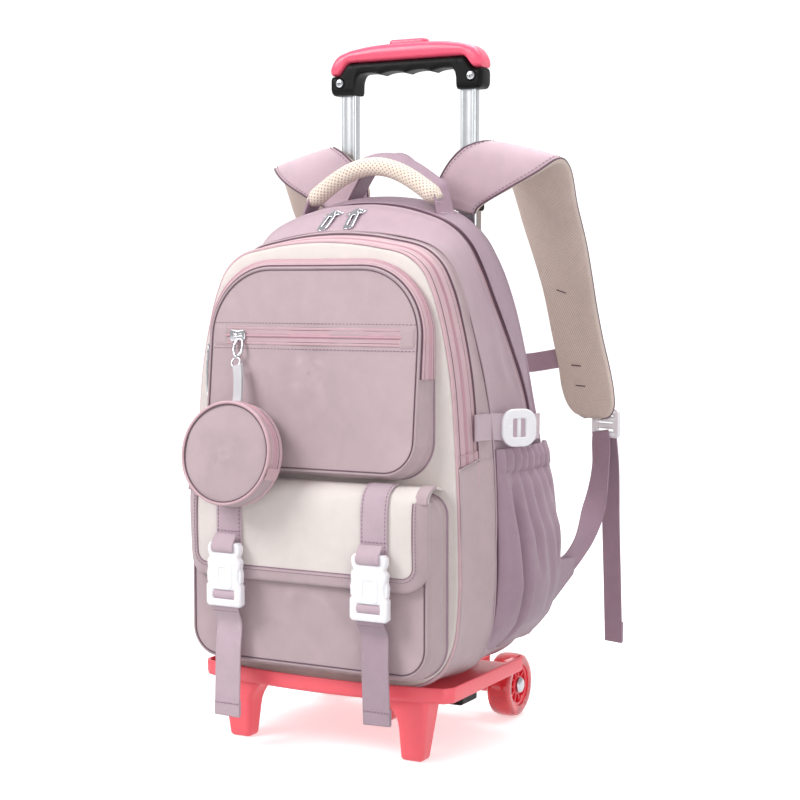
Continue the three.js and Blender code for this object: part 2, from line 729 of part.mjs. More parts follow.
// Webbing over the flap, the buckles and the tails below them
function frontWebbing() {
  const lift = CLOTH + CLEAR + WEBBING / 2;
  const flapFront = FACE_PLANE - CLEAR - LOWER_DEPTH * FLAP_PROUD - CLOTH;
  const buckleY = flapFront - BINDING_LIFT - THIN_CLOTH - CLEAR - BUCKLE_THICK / 2;
  const ts = [0.16, 0.24, 0.33, 0.42, 0.5];
  for (const side of [-1, 1]) {
    const name = side < 0 ? 'left' : 'right';
    const x = side * FRONT_STRAP_X;
    const fall = ts.map((t) => flapPoint(t, 0, lift + 0.3).add(vec(x, 0, 0)));
    const start = fall[0].clone().add(vec(0, 6, 1.5));
    const meet = vec(x, buckleY + 2, BUCKLE_TOP + CLEAR);
    const above = meet.clone().add(vec(0, 0, 4));
    const run = [start, ...fall.filter((p) => p.z > above.z + 6), above, meet];
    const sideways = run.map(() => vec(1, 0, 0));
    add(`front_strap_${name}`, strap(run, sideways, FRONT_STRAP_WIDE, WEBBING), 'webbing');

    const low = BUCKLE_TOP - BUCKLE_LONG;
    const outline = roundedShape(x - BUCKLE_WIDE / 2, x + BUCKLE_WIDE / 2, low, BUCKLE_TOP, 6);
    for (const height of [0.12, 0.72]) {
      const z = low + BUCKLE_LONG * height;
      outline.holes.push(slot(x - 12, x + 12, z, z + 6));
    }
    add(`buckle_${name}`, plateXZ(outline, buckleY - BUCKLE_THICK / 2, buckleY + BUCKLE_THICK / 2), 'whitePlastic');

    const end = side < 0 ? TAIL_END_LEFT : TAIL_END_RIGHT;
    const top = low - CLEAR;
    const tailY = FACE_PLANE - LOWER_DEPTH - 8;
    const tail = TAIL_RUN.map(([fall, back, shift]) => {
      return vec(x + side * shift, mix(buckleY, tailY, back), mix(top, end, fall));
    });
    add(`front_tail_${name}`, strap(tail, tail.map(() => vec(1, 0, 0)), FRONT_STRAP_WIDE, WEBBING), 'webbing');
  }
}

// The body's surface on the right side at a height and depth, as x
function sideX(y, z) {
  let best = 0;
  for (let s = 0; s <= RING_NAMES.length - 1.001; s += 0.125) {
    const u = uAtHeight(s, z);
    const p = skin(u, s);
    const q = skin(uAtHeight(s + 0.125, z), Math.min(s + 0.125, RING_NAMES.length - 1.001));
    if (p.y <= y && q.y >= y && q.y - p.y > 1e-6) {
      best = mix(p.x, q.x, (y - p.y) / (q.y - p.y));
    }
  }
  return best || skin(uAtHeight(RING_NAMES.length - 1.001, z), RING_NAMES.length - 1.001).x;
}

// Gathered side pockets: a wall that bulges off the bag and closes on it at three edges
const SIDE_POCKET_FRONT = -92;
const SIDE_POCKET_LOW = 90;
const SIDE_SEAM_LIFT = 0.8; // the pocket's sewn edges over the bag's curved side
const RUFFLE = 1.8;
const FOLDS = 7;
const SIDE_POCKET_ROWS = [
  // share of the height, share of the bulge, share of the ruffle
  [0.00, 0.00, 0.0],
  [0.06, 0.34, 0.1],
  [0.14, 0.70, 0.1],
  [0.32, 1.00, 0.2],
  [0.58, 0.95, 0.4],
  [0.82, 0.78, 0.8],
  [0.88, 0.62, 1.0],
  [1.00, 0.70, 0.9],
];

function sidePockets() {
  const back = BAG_BACK + BACK_PANEL_THICK - 1;
  const across = 15;
  const sections = SIDE_POCKET_ROWS.map(([rise, swell, gather]) => {
    const z = mix(SIDE_POCKET_LOW, SIDE_POCKET_TOP, rise);
    const outer = [];
    const inner = [];
    for (let i = 0; i <= across; i++) {
      const t = i / across;
      const y = mix(SIDE_POCKET_FRONT, back, t);
      const edge = Math.sin(Math.PI * t ** 1.35) ** 0.5;
      const wave = gather * RUFFLE * Math.sin(t * FOLDS * 2 * Math.PI);
      const stand = edge * (swell * SIDE_POCKET_BULGE + wave);
      const x = sideX(y, z) + SIDE_SEAM_LIFT + Math.max(0, stand);
      inner.push(vec(x, y, z));
      outer.push(vec(x + THIN_CLOTH, y, z));
    }
    return [...outer, ...inner.reverse()];
  });
  const pocket = skinned(sections);
  add('side_pocket_right', pocket, 'mauveDark');
  add('side_pocket_left', mirrored(pocket), 'mauveDark');
}

// Compression straps over the side pockets, with their white sliders turned to the front
const SIDE_STRAP_RUN = [
  // y, how far the strap stands off the bag's side, drop of its middle line
  [-122, 1.5, 0],
  [-108, 1.5, 0],
  [-92, 2.0, 0.5],
  [-80, 5.0, 1.5],
  [-57, 21.0, 3],
  [-40, 17.0, 4],
  [-18, 9.0, 5],
  [0, 5.0, 6],
];

function sideStraps() {
  const lean = (y) => sideX(y, SIDE_STRAP_HEIGHT + SIDE_STRAP_WIDE / 2) - sideX(y, SIDE_STRAP_HEIGHT - SIDE_STRAP_WIDE / 2);
  const points = SIDE_STRAP_RUN.map(([y, off, drop]) => {
    return vec(sideX(y, SIDE_STRAP_HEIGHT - drop) + off, y, SIDE_STRAP_HEIGHT - drop);
  });
  const widths = SIDE_STRAP_RUN.map(([y]) => vec(lean(y), 0, SIDE_STRAP_WIDE));
  const webbing = strap(points, widths, SIDE_STRAP_WIDE, WEBBING);
  add('side_strap_right', webbing, 'webbing');
  add('side_strap_left', mirrored(webbing), 'webbing');
  const outline = roundedShape(-SLIDER_LONG / 2, SLIDER_LONG / 2, -SLIDER_HIGH / 2, SLIDER_HIGH / 2, 9);
  const [from, to] = [points[3], points[4]];
  const along = to.clone().sub(from);
  const across = vec(along.y, -along.x, 0).normalize();
  const middle = from.clone().lerp(to, 0.5).addScaledVector(across, WEBBING / 2 + SLIDER_THICK / 2 + CLEAR + 1);
  const slotHigh = SLIDER_HIGH * 0.76;
  const slotWide = SLIDER_LONG * 0.19;
  let plate = solid(plateXZ(outline, -SLIDER_THICK / 2, SLIDER_THICK / 2));
  for (const shift of [-SLIDER_LONG * 0.18, SLIDER_LONG * 0.18]) {
    plate = plate.subtract(solid(boxBetween(shift - slotWide / 2, shift + slotWide / 2, -SLIDER_THICK, SLIDER_THICK,
      -slotHigh / 2, slotHigh / 2)));
  }
  const slider = body(plate);
  slider.rotateZ(Math.atan2(along.y, along.x));
  slider.translate(middle.x, middle.y, middle.z);
  add('side_slider_right', slider, 'whitePlastic');
  add('side_slider_left', mirrored(slider), 'whitePlastic');
}

// Carry handle: a padded mesh tube under a wider band
function carryHandle() {
  const steps = 14;
  const y = -52;
  const [dip, reach] = [0.66, 0.75]; // the tube meets the bag at a slant
  const footHeight = topUnder(HANDLE_HALF - HANDLE_TUBE * reach, y, HANDLE_TUBE * 2) + HANDLE_TUBE * dip + CLEAR;
  const arc = (t, out) => {
    const a = mix(-1, 1, t);
    const x = a * HANDLE_HALF;
    const z = footHeight + HANDLE_RISE * (1 - Math.abs(a) ** 2.2);
    return vec(x, y + 4 * (1 - a * a), z + out);
  };
  const path = new THREE.CatmullRomCurve3(Array.from({ length: steps + 1 }, (_, i) => arc(i / steps, 0)));
  const ring = new THREE.Shape();
  ring.absellipse(0, 0, HANDLE_TUBE * 0.9, HANDLE_TUBE, 0, Math.PI * 2);
  const tube = new THREE.ExtrudeGeometry(ring, { steps: 12, extrudePath: path, curveSegments: 4 });
  add('handle_mesh', body(solid(tube)), 'mesh');
  const bandPoints = [];
  const bandSteps = 16;
  for (let i = 0; i <= bandSteps; i++) {
    const t = i / bandSteps;
    const p = path.getPoint(t);
    const along = path.getTangent(t);
    const n = vec(-along.z, 0, along.x).normalize();
    bandPoints.push(p.addScaledVector(n, HANDLE_TUBE + CLEAR + WEBBING / 2 + 0.6));
  }
  const footX = HANDLE_HALF + 12;
  const footTop = topUnder(footX - 1, y, HANDLE_BAND_WIDE);
  const foot = (side) => vec(side * footX, y - 2, footTop + CLEAR + 0.5);
  const run = [foot(-1), ...bandPoints, foot(1)];
  add('carry_handle', strap(run, run.map(() => vec(0, 1, 0)), HANDLE_BAND_WIDE, WEBBING), 'mauve');
}

// Height of the bag's top at a place, on the flat facets of the bands
function skinTop(x, y) {
  const topHalf = POSITIONS.filter((u) => u > 0.2 && u <= 0.5);
  const atAcross = (s) => {
    const arch = topHalf.map((u) => skin(u, s));
    const after = Math.max(1, arch.findIndex((p) => p.x <= Math.abs(x) + 1e-6));
    const [outer, inner] = [arch[after - 1], arch[after]];
    return outer.lerp(inner, (outer.x - Math.abs(x)) / (outer.x - inner.x));
  };
  const rows = Array.from({ length: 4 * (RING_NAMES.length - 1) }, (_, i) => atAcross(i / 4));
  rows.push(atAcross(RING_NAMES.length - 1.0001));
  const next = rows.findIndex((p) => p.y > y);
  if (next <= 0) {
    return rows.at(next).z;
  }
  const [before, after] = [rows[next - 1], rows[next]];
  return mix(before.z, after.z, (y - before.y) / (after.y - before.y));
}

// The same over the whole width of a strap that runs across the bag
function topUnder(x, y, wide) {
  return Math.max(...[-0.5, -0.25, 0, 0.25, 0.5].map((share) => skinTop(x, y + share * wide)));
}

// Webbing loop behind the carry handle
function rearLoop() {
  const steps = 12;
  const y = -16;
  const foot = topUnder(LOOP_HALF, y, LOOP_WIDE) + CLEAR + 0.2;
  const points = [];
  for (let i = 0; i <= steps; i++) {
    const a = mix(-1, 1, i / steps);
    const rise = LOOP_RISE * (1 - Math.abs(a) ** 3) * (1 - 0.12 * a);
    points.push(vec(a * LOOP_HALF - 6 * (1 - a * a), y + 8 * (1 - a * a) ** 2, foot + rise));
  }
  add('rear_loop', strap(points, points.map(() => vec(0, 1, 0)), LOOP_WIDE, WEBBING), 'webbing');
}

// The padded shoulder strap by its two long edges, from its root over the crest to its tip
const PAD_EDGES = [
  // inner x, y, z, outer x, y, z
  [38, 6, 518, 84, 6, 497],
  [52, 6, 541, 112, 6, 512],
  [66, 7, 553, 140, 12, 527],
  [84, 20, 558, 158, 24, 539],
  [86, 48, 548, 160, 42, 532],
  [85, 80, 518, 159, 62, 498],
  [84, 108, 484, 158, 88, 462],
  [85, 132, 452, 156, 108, 430],
  [88, 150, 418, 154, 125, 402],
  [92, 165, 372, 156, 138, 368],
  [98, 172, 338, 160, 146, 334],
  [108, 169, 308, 163, 148, 307],
  [122, 161, 291, 157, 147, 291],
];

function shoulderStraps() {
  const middleOf = ([ix, iy, iz, ox, oy, oz]) => vec(ix + ox, iy + oy, iz + oz).multiplyScalar(0.5);
  const seamTop = (x) => skinTop(x, PAD_ROOT_Y - PAD_THICK / 2);
  const [rootIn, rootOut] = [seamTop(PAD_ROOT_INNER), seamTop(PAD_ROOT_OUTER)];
  const rises = [0.2, 0.35, 0.5, 0.65, 0.8].map((t) => {
    return seamTop(mix(PAD_ROOT_INNER, PAD_ROOT_OUTER, t)) - mix(rootIn, rootOut, t);
  });
  const seat = Math.max(0, ...rises) + CLEAR + 0.2;
  const rootRow = [PAD_ROOT_INNER, PAD_ROOT_Y, rootIn + seat, PAD_ROOT_OUTER, PAD_ROOT_Y, rootOut + seat];
  const rows = [rootRow, ...PAD_EDGES];
  const sections = rows.map((row, i) => {
    const before = middleOf(rows[Math.max(0, i - 1)]);
    const along = middleOf(rows[Math.min(rows.length - 1, i + 1)]).sub(before);
    const across = vec(row[3] - row[0], row[4] - row[1], row[5] - row[2]).multiplyScalar(0.5);
    const up = along.cross(across).normalize();
    const profile = [[-1, -0.25], [-0.86, -0.5], [0.86, -0.5], [1, -0.25], [1, 0.25], [0.86, 0.5], [-0.86, 0.5], [-1, 0.25]];
    return profile.map(([a, b]) => middleOf(row).addScaledVector(across, a).addScaledVector(up, b * PAD_THICK));
  });
  const pad = skinned(sections);
  add('shoulder_pad_right', pad, 'mauve');
  add('shoulder_pad_left', mirrored(pad), 'mauve');

  const tip = middleOf(PAD_EDGES.at(-1)).toArray();
  const across = vec(0.92, -0.39, 0);
  const out = vec(0.39, 0.92, 0);
  const lockCentre = vec(tip[0], tip[1], tip[2] - LOCK_HIGH / 2 + 5)
    .addScaledVector(out, PAD_THICK / 2 + LOCK_THICK / 2 + CLEAR + 1.8).addScaledVector(across, 12);
  const outline = roundedShape(-LOCK_WIDE / 2, LOCK_WIDE / 2, -LOCK_HIGH / 2, LOCK_HIGH / 2, 5);
  for (const z of [-6, 4]) {
    outline.holes.push(slot(-12.5, 12.5, z - 2.2, z + 2.2));
  }
  const lock = plateXZ(outline, -LOCK_THICK / 2, LOCK_THICK / 2);
  lock.rotateZ(Math.atan2(-0.39, 0.92));
  lock.translate(lockCentre.x, lockCentre.y, lockCentre.z);
  add('ladder_lock_right', lock, 'whitePlastic');
  add('ladder_lock_left', mirrored(lock), 'whitePlastic');

  const lockLow = lockCentre.z - LOCK_HIGH / 2;
  const tailTop = lockCentre.clone().addScaledVector(out, 1.4);
  const tail = [
    // x, height share, y shift, turn
    [0, 0, 0],
    [2, 0.15, 1],
    [3, 0.4, 0],
    [6, 0.7, -1],
    [9, 1, -2],
  ].map(([dx, t, dy]) => vec(tailTop.x + dx, tailTop.y + dy, mix(lockLow - CLEAR - 0.8, STRAP_TAIL_END, t)));
  const tailSolid = strap(tail, tail.map((_, i) => vec(0.92, -0.39 + i * 0.03, 0)), TAIL_WIDE, WEBBING);
  add('strap_tail_right', tailSolid, 'webbing');
  add('strap_tail_left', mirrored(tailSolid), 'webbing');

  const start = lockCentre.clone().addScaledVector(out, -1.6);
  const run = [
    // inset, share of the way forward, share of the fall, width direction x, y, z
    [3, 0, 0, 0.92, -0.39, 0],
    [5, 0.061, 0.16, 0.92, -0.39, 0.05],
    [6, 0.325, 0.417, 0.85, -0.5, 0.15],
    [6, 0.6, 0.674, 0.6, -0.55, 0.5],
    [6, 0.847, 0.88, 0.3, -0.5, 0.8],
    [7, 1, 1, 0.1, -0.5, 0.87],
  ].map(([dx, back, fall, ...width]) => [
    start.x - dx, mix(start.y - 1, TAB_JOIN_Y, back), mix(lockLow - CLEAR, TAB_JOIN_HEIGHT, fall), ...width]);
  const web = strap(run.map(([x, y, z]) => vec(x, y, z)), run.map((r) => vec(r[3], r[4], r[5])), TAIL_WIDE, WEBBING);
  add('lower_webbing_right', web, 'webbing');
  add('lower_webbing_left', mirrored(web), 'webbing');

  const join = run.at(-1);
  const backEdge = sideX(BAG_BACK - 1, TAB_ROOT_HEIGHT);
  const rootY = BAG_BACK + BACK_PANEL_THICK + TAB_STAND_OFF;
  const tabs = [vec(backEdge - 3, rootY, TAB_ROOT_HEIGHT), vec(backEdge + 1, mix(rootY, join[1], 0.35), TAB_ROOT_HEIGHT + 6),
    vec(join[0], join[1] - 5.6, join[2] - 5.6)];
  const tabWidths = [vec(0, 0.1, 1), vec(0, -0.2, 1), vec(0.1, -0.5, 0.87)];
  const tab = strap(tabs, tabWidths, [TAB_ROOT_WIDE, TAB_ROOT_WIDE * 0.66, TAIL_WIDE + 1], 2.2);
  add('corner_tab_right', tab, 'mauveDark');
  add('corner_tab_left', mirrored(tab), 'mauveDark');
}

// Chest strap behind the bag, from pad to pad, and its clasp
function chestStrap() {
  const edgeAt = (z) => {
    const i = PAD_EDGES.findIndex((row) => row[2] < z && row[0] > PAD_EDGES[3][0]);
    const [above, below] = [PAD_EDGES[i - 1], PAD_EDGES[i]];
    const t = (z - above[2]) / (below[2] - above[2]);
    return vec(mix(above[0], below[0], t), mix(above[1], below[1], t), z);
  };
  const edge = edgeAt(CHEST_HEIGHT);
  const reach = edge.x - CLEAR - 0.9;
  const claspHalf = CLASP_LONG / 2;
  const at = (x) => {
    const t = 1 - (Math.max(Math.abs(x), claspHalf) / reach) ** 2;
    return vec(x, edge.y + CHEST_BOW * t, CHEST_HEIGHT - CHEST_SAG * t);
  };
  const steps = 5;
  const half = (x0, x1) => Array.from({ length: steps + 1 }, (_, i) => at(mix(x0, x1, i / steps)));
  const points = [...half(-reach, -claspHalf), ...half(claspHalf, reach)];
  add('chest_strap', strap(points, points.map(() => vec(0, 0, 1)), CHEST_WIDE, WEBBING), 'mauveDark');
  const middle = at(0);
  const outline = roundedShape(-claspHalf, claspHalf, middle.z - CLASP_HIGH / 2, middle.z + CLASP_HIGH / 2, 5);
  const claspFront = middle.y + WEBBING / 2 + CLEAR;
  add('chest_clasp', plateXZ(outline, claspFront, claspFront + CLASP_THICK), 'mauveDark');
}

// Coin pouch, its ribbon, and the clip that hangs it on the slider of the level zip
function pouch() {
  const half = POUCH_THICK / 2;
  const profile = [[0, -half], [0.75, -half * 0.96], [0.93, -half * 0.8], [1, -half * 0.5], [1, half * 0.5],
    [0.93, half * 0.8], [0.75, half * 0.96], [0, half]];
  const round = new THREE.LatheGeometry(profile.map(([r, y]) => new THREE.Vector2(r * POUCH_RADIUS, y)), 20);
  round.rotateX(-POUCH_LEAN).translate(POUCH_X, POUCH_Y, POUCH_HEIGHT);
  add('coin_pouch', body(solid(round)), 'mauve');
  const top = vec(POUCH_X, POUCH_Y + POUCH_RADIUS * Math.sin(POUCH_LEAN), POUCH_HEIGHT + POUCH_RADIUS * Math.cos(POUCH_LEAN));
  const clipLong = 32;
  const clipTop = vec(CLIP_X, upperFaceY(LEVEL_ZIP_HEIGHT) - CLEAR - THIN_CLOTH - 1.9, LEVEL_ZIP_HEIGHT);
  const hang = top.clone().sub(clipTop);
  const ribbonLong = hang.length() - clipLong;
  hang.normalize();
  const ribbonTop = top.clone().addScaledVector(hang, -ribbonLong + CLEAR);
  const ribbon = [top.clone().addScaledVector(hang, -CLEAR - 0.6), top.clone().lerp(ribbonTop, 0.5), ribbonTop];
  add('pouch_ribbon', strap(ribbon, ribbon.map(() => vec(1, 0, 0)), RIBBON_WIDE, 2.4), 'webbing');
  const shape = roundedShape(-5.5, 5.5, CLEAR, clipLong - CLEAR, 4);
  shape.holes.push(slot(-3, 3, clipLong * 0.08, clipLong * 0.3));
  shape.holes.push(slot(-3, 3, clipLong * 0.55, clipLong * 0.85));
  const clip = plateXZ(shape, -1.3, 1.3);
  const up = hang.clone().negate();
  const side = vec(1, 0, 0).addScaledVector(up, -up.x).normalize();
  const out = up.clone().cross(side);
  const place = clipTop.clone().addScaledVector(hang, clipLong);
  clip.applyMatrix4(new THREE.Matrix4().makeBasis(side, out, up).setPosition(place));
  add('pouch_clip', clip, 'chrome');
}

// An open metal pull tab that lies along a direction from its hinge
function pullTab(name, hinge, along, across, long, wide, colour = 'chrome') {
  const shape = roundedShape(-wide / 2, wide / 2, -long, 0, wide * 0.45);
  shape.holes.push(roundedShape(-wide / 4, wide / 4, -long + wide * 0.35, -wide * 0.7, wide / 4 - 0.05, THREE.Path));
  const tab = plateXZ(shape, -PULL_THICK / 2, PULL_THICK / 2);
  const z = along.clone().negate().normalize();
  const x = across.clone().addScaledVector(z, -across.dot(z)).normalize();
  const y = z.clone().cross(x);
  tab.applyMatrix4(new THREE.Matrix4().makeBasis(x, y, z).setPosition(hinge));
  add(name, tab, colour);
}

function pulls() {
  const slopeAt = (x) => {
    const top = vec(x, -82, skinTop(x, -82));
    const low = vec(x, -104, skinTop(x, -104));
    return [top, low.sub(top).normalize()];
  };
  for (const [name, x, slant] of [['top_pull_left', -25, 0.06], ['top_pull_right', -1, 0.18]]) {
    const [top, down] = slopeAt(x);
    const n = vec(0, down.z, -down.y).normalize();
    const along = down.clone().add(vec(slant, 0, 0)).normalize();
    pullTab(name, top.addScaledVector(n, PULL_THICK / 2 + CLEAR + 0.5), along, vec(1, 0, 0), 33, 8);
  }
  const sideY = FACE_PLANE - 11;
  const zipOut = UPPER_HALF + POCKET_FLARE * 0.4 + CLEAR + ZIP_LIFT + THIN_CLOTH;
  const pullX = -(zipOut + 2 * CLEAR + PULL_THICK / 2);
  pullTab('side_pull', vec(pullX, sideY, 360), vec(0, 0, -1), vec(0, 1, 0), 40, 7);
  const lowX = -(sideX(-133, SECOND_ZIP_END - 30) + 2.5);
  pullTab('low_pull', vec(lowX, -133, SECOND_ZIP_END - 13), vec(0, 0, -1), vec(0, 1, 0), 31, 7);
}

// Pull-out handle: pink shell over a black body, tubes and the release button
function grip() {
  const topAt = (x) => GRIP_TOP - GRIP_DROP * (Math.abs(x) / GRIP_HALF) ** 2;
  const splitAt = (x) => GRIP_TOP - GRIP_SPLIT - (GRIP_DROP - 2) * (Math.abs(x) / GRIP_HALF) ** 2;
  const steps = 12;
  const xs = Array.from({ length: steps + 1 }, (_, i) => mix(-GRIP_HALF + 3, GRIP_HALF - 3, i / steps));
  const shell = new THREE.Shape();
  shell.moveTo(-GRIP_HALF, splitAt(GRIP_HALF));
  [...xs].forEach((x) => shell.lineTo(x, splitAt(x)));
  shell.lineTo(GRIP_HALF, splitAt(GRIP_HALF));
  shell.lineTo(GRIP_HALF, topAt(GRIP_HALF) - 6);
  [...xs].reverse().forEach((x) => shell.lineTo(x, topAt(x)));
  shell.lineTo(-GRIP_HALF, topAt(GRIP_HALF) - 6);
  const front = TUBE_Y - GRIP_DEEP / 2;
  const back = TUBE_Y + GRIP_DEEP / 2;
  const shellBody = solid(plateXZ(shell, front, back));
  const slotHalf = BUTTON_LONG / 2 + CLEAR;
  const slotFloor = GRIP_TOP - BUTTON_TRAVEL - 6;
  const recess = boxBetween(-slotHalf, slotHalf, TUBE_Y - BUTTON_DEEP / 2 - CLEAR, TUBE_Y + BUTTON_DEEP / 2 + CLEAR,
    slotFloor, GRIP_TOP + 20);
  add('grip_shell', body(shellBody.subtract(solid(recess))), 'gripPink');
  const button = boxBetween(-BUTTON_LONG / 2, BUTTON_LONG / 2, TUBE_Y - BUTTON_DEEP / 2, TUBE_Y + BUTTON_DEEP / 2,
    slotFloor + BUTTON_TRAVEL + CLEAR, GRIP_TOP + BUTTON_PROUD);
  add('grip_button', button, 'gripPink');

  const lower = new THREE.Shape();
  const inside = GRIP_HALF - GRIP_BLOCK;
  lower.moveTo(-GRIP_HALF, GRIP_BOTTOM);
  lower.lineTo(-inside, GRIP_BOTTOM);
  lower.lineTo(-inside, GRIP_BAR_LOW - 3);
  const fingers = 4;
  const scallop = 3;
  const points = fingers * 6;
  for (let i = 0; i <= points; i++) {
    const t = i / points;
    lower.lineTo(mix(-inside + 6, inside - 6, t), GRIP_BAR_LOW + scallop * Math.abs(Math.sin(t * fingers * Math.PI)));
  }
  lower.lineTo(inside, GRIP_BAR_LOW - 3);
  lower.lineTo(inside, GRIP_BOTTOM);
  lower.lineTo(GRIP_HALF, GRIP_BOTTOM);
  lower.lineTo(GRIP_HALF, splitAt(GRIP_HALF) - CLEAR);
  [...xs].reverse().forEach((x) => lower.lineTo(x, splitAt(x) - CLEAR));
  lower.lineTo(-GRIP_HALF, splitAt(GRIP_HALF) - CLEAR);
  add('grip_body', plateXZ(lower, front + 1, back - 1), 'black');
}

// A hollow tube with a rounded rectangular section, standing between two heights
function squareTube(x, y, wide, deep, wall, low, high) {
  const shape = roundedShape(-wide / 2, wide / 2, -deep / 2, deep / 2, 2.5);
  shape.holes.push(slot(-wide / 2 + wall, wide / 2 - wall, -deep / 2 + wall, deep / 2 - wall));
  const tube = new THREE.ExtrudeGeometry(shape, { depth: high - low, bevelEnabled: false, curveSegments: 2 });
  return tube.translate(x, y, low);
}

const OUTER_WIDE = TUBE_WIDE + 2 * (SLIDE_CLEAR + TUBE_WALL);
const OUTER_DEEP = TUBE_DEEP + 2 * (SLIDE_CLEAR + TUBE_WALL);
const SOCKET_LOW = 40; // underside of the tubes, in the tray's rear block

function tubes() {
  for (const side of [-1, 1]) {
    const name = side < 0 ? 'left' : 'right';
    const low = GRIP_BOTTOM - CLEAR - INNER_TUBE_LONG;
    add(`inner_tube_${name}`, squareTube(side * TUBE_X, TUBE_Y, TUBE_WIDE, TUBE_DEEP, TUBE_WALL, low,
      GRIP_BOTTOM - CLEAR), 'aluminium');
    add(`outer_tube_${name}`, squareTube(side * TUBE_X, TUBE_Y, OUTER_WIDE, OUTER_DEEP, TUBE_WALL,
      SOCKET_LOW + CLEAR, OUTER_TUBE_TOP), 'aluminium');
  }
}

// A four-sided leg or arm between two rectangles
function taper(low, high) {
  const corners = ([x0, x1, y0, y1, z]) => [vec(x0, y0, z), vec(x1, y0, z), vec(x1, y1, z), vec(x0, y1, z)];
  return skinned([low, high].map(corners));
}

// Moulded tray: floor, rim, bowed apron, front legs, rear block with the axle bosses, under-rib
function baseTray() {
  const outline = (inset, back) => {
    const s = new THREE.Shape();
    const half = TRAY_HALF - inset;
    s.moveTo(-half, back);
    s.lineTo(-half, TRAY_FRONT + inset + 6);
    s.lineTo(-half + 6, TRAY_FRONT + inset);
    const steps = 10;
    for (let i = 1; i < steps; i++) {
      const x = mix(-half + 6, half - 6, i / steps);
      s.lineTo(x, TRAY_FRONT + inset - TRAY_BOW * (1 - (x / half) ** 2));
    }
    s.lineTo(half - 6, TRAY_FRONT + inset);
    s.lineTo(half, TRAY_FRONT + inset + 6);
    s.lineTo(half, back);
    return s;
  };
  const slab = (shape, low, high) => new THREE.ExtrudeGeometry(shape, { depth: high - low, bevelEnabled: false })
    .translate(0, 0, low);
  const outer = solid(slab(outline(0, TRAY_REAR), TRAY_FLOOR, RIM_TOP));
  const hollow = solid(slab(outline(RIM_WALL, TRAY_REAR + 20), TRAY_FLOOR + TRAY_THICK, RIM_TOP + 20));
  let tray = outer.subtract(hollow);
  const legTop = LEG_WIDE + LEG_SPLAY;
  for (const side of [-1, 1]) {
    const x = side * LEG_X;
    const leg = taper([x - LEG_WIDE / 2, x + LEG_WIDE / 2, TRAY_FRONT, TRAY_FRONT + LEG_DEEP, 0],
      [x - legTop / 2, x + legTop / 2, TRAY_FRONT - 4, TRAY_FRONT + LEG_DEEP + 8, TRAY_FLOOR + 2]);
    tray = tray.add(solid(leg));
  }
  const axleZ = WHEEL_RADIUS;
  const armIn = TUBE_X + OUTER_WIDE / 2 - 6;
  const armOut = WHEEL_X - WHEEL_WIDE / 2 - 2;
  const blockBack = TUBE_Y + OUTER_DEEP / 2 + RIM_WALL + CLEAR;
  tray = tray.add(solid(boxBetween(-armOut, armOut, TRAY_REAR - 14, blockBack, SOCKET_LOW - RIM_WALL, TRAY_FLOOR + TRAY_THICK)));
  for (const side of [-1, 1]) {
    const boss = new THREE.CylinderGeometry(BOSS_RADIUS, BOSS_RADIUS, armOut - armIn, 14).rotateZ(Math.PI / 2)
      .translate(side * (armIn + armOut) / 2, AXLE_Y, axleZ);
    const x0 = side < 0 ? -armOut : armIn;
    const x1 = side < 0 ? -armIn : armOut;
    const arm = taper([x0, x1, AXLE_Y - BOSS_RADIUS, AXLE_Y + BOSS_RADIUS, axleZ],
      [x0, x1, TRAY_REAR, blockBack, TRAY_FLOOR]);
    tray = tray.add(solid(boss)).add(solid(arm));
    const socket = boxBetween(side * TUBE_X - OUTER_WIDE / 2 - CLEAR, side * TUBE_X + OUTER_WIDE / 2 + CLEAR,
      TUBE_Y - OUTER_DEEP / 2 - CLEAR, TUBE_Y + OUTER_DEEP / 2 + CLEAR, SOCKET_LOW, RIM_TOP + 20);
    tray = tray.subtract(solid(socket));
  }
  const bore = new THREE.CylinderGeometry(AXLE_RADIUS + TURN_CLEAR, AXLE_RADIUS + TURN_CLEAR, 2 * armOut + 10, 14)
    .rotateZ(Math.PI / 2).translate(0, AXLE_Y, axleZ);
  tray = tray.subtract(solid(bore));
  const rib = boxBetween(-8, 8, -70, -45, 20, TRAY_FLOOR + 1);
  tray = tray.add(solid(rib));
  add('base_tray', body(tray), 'coral');
}

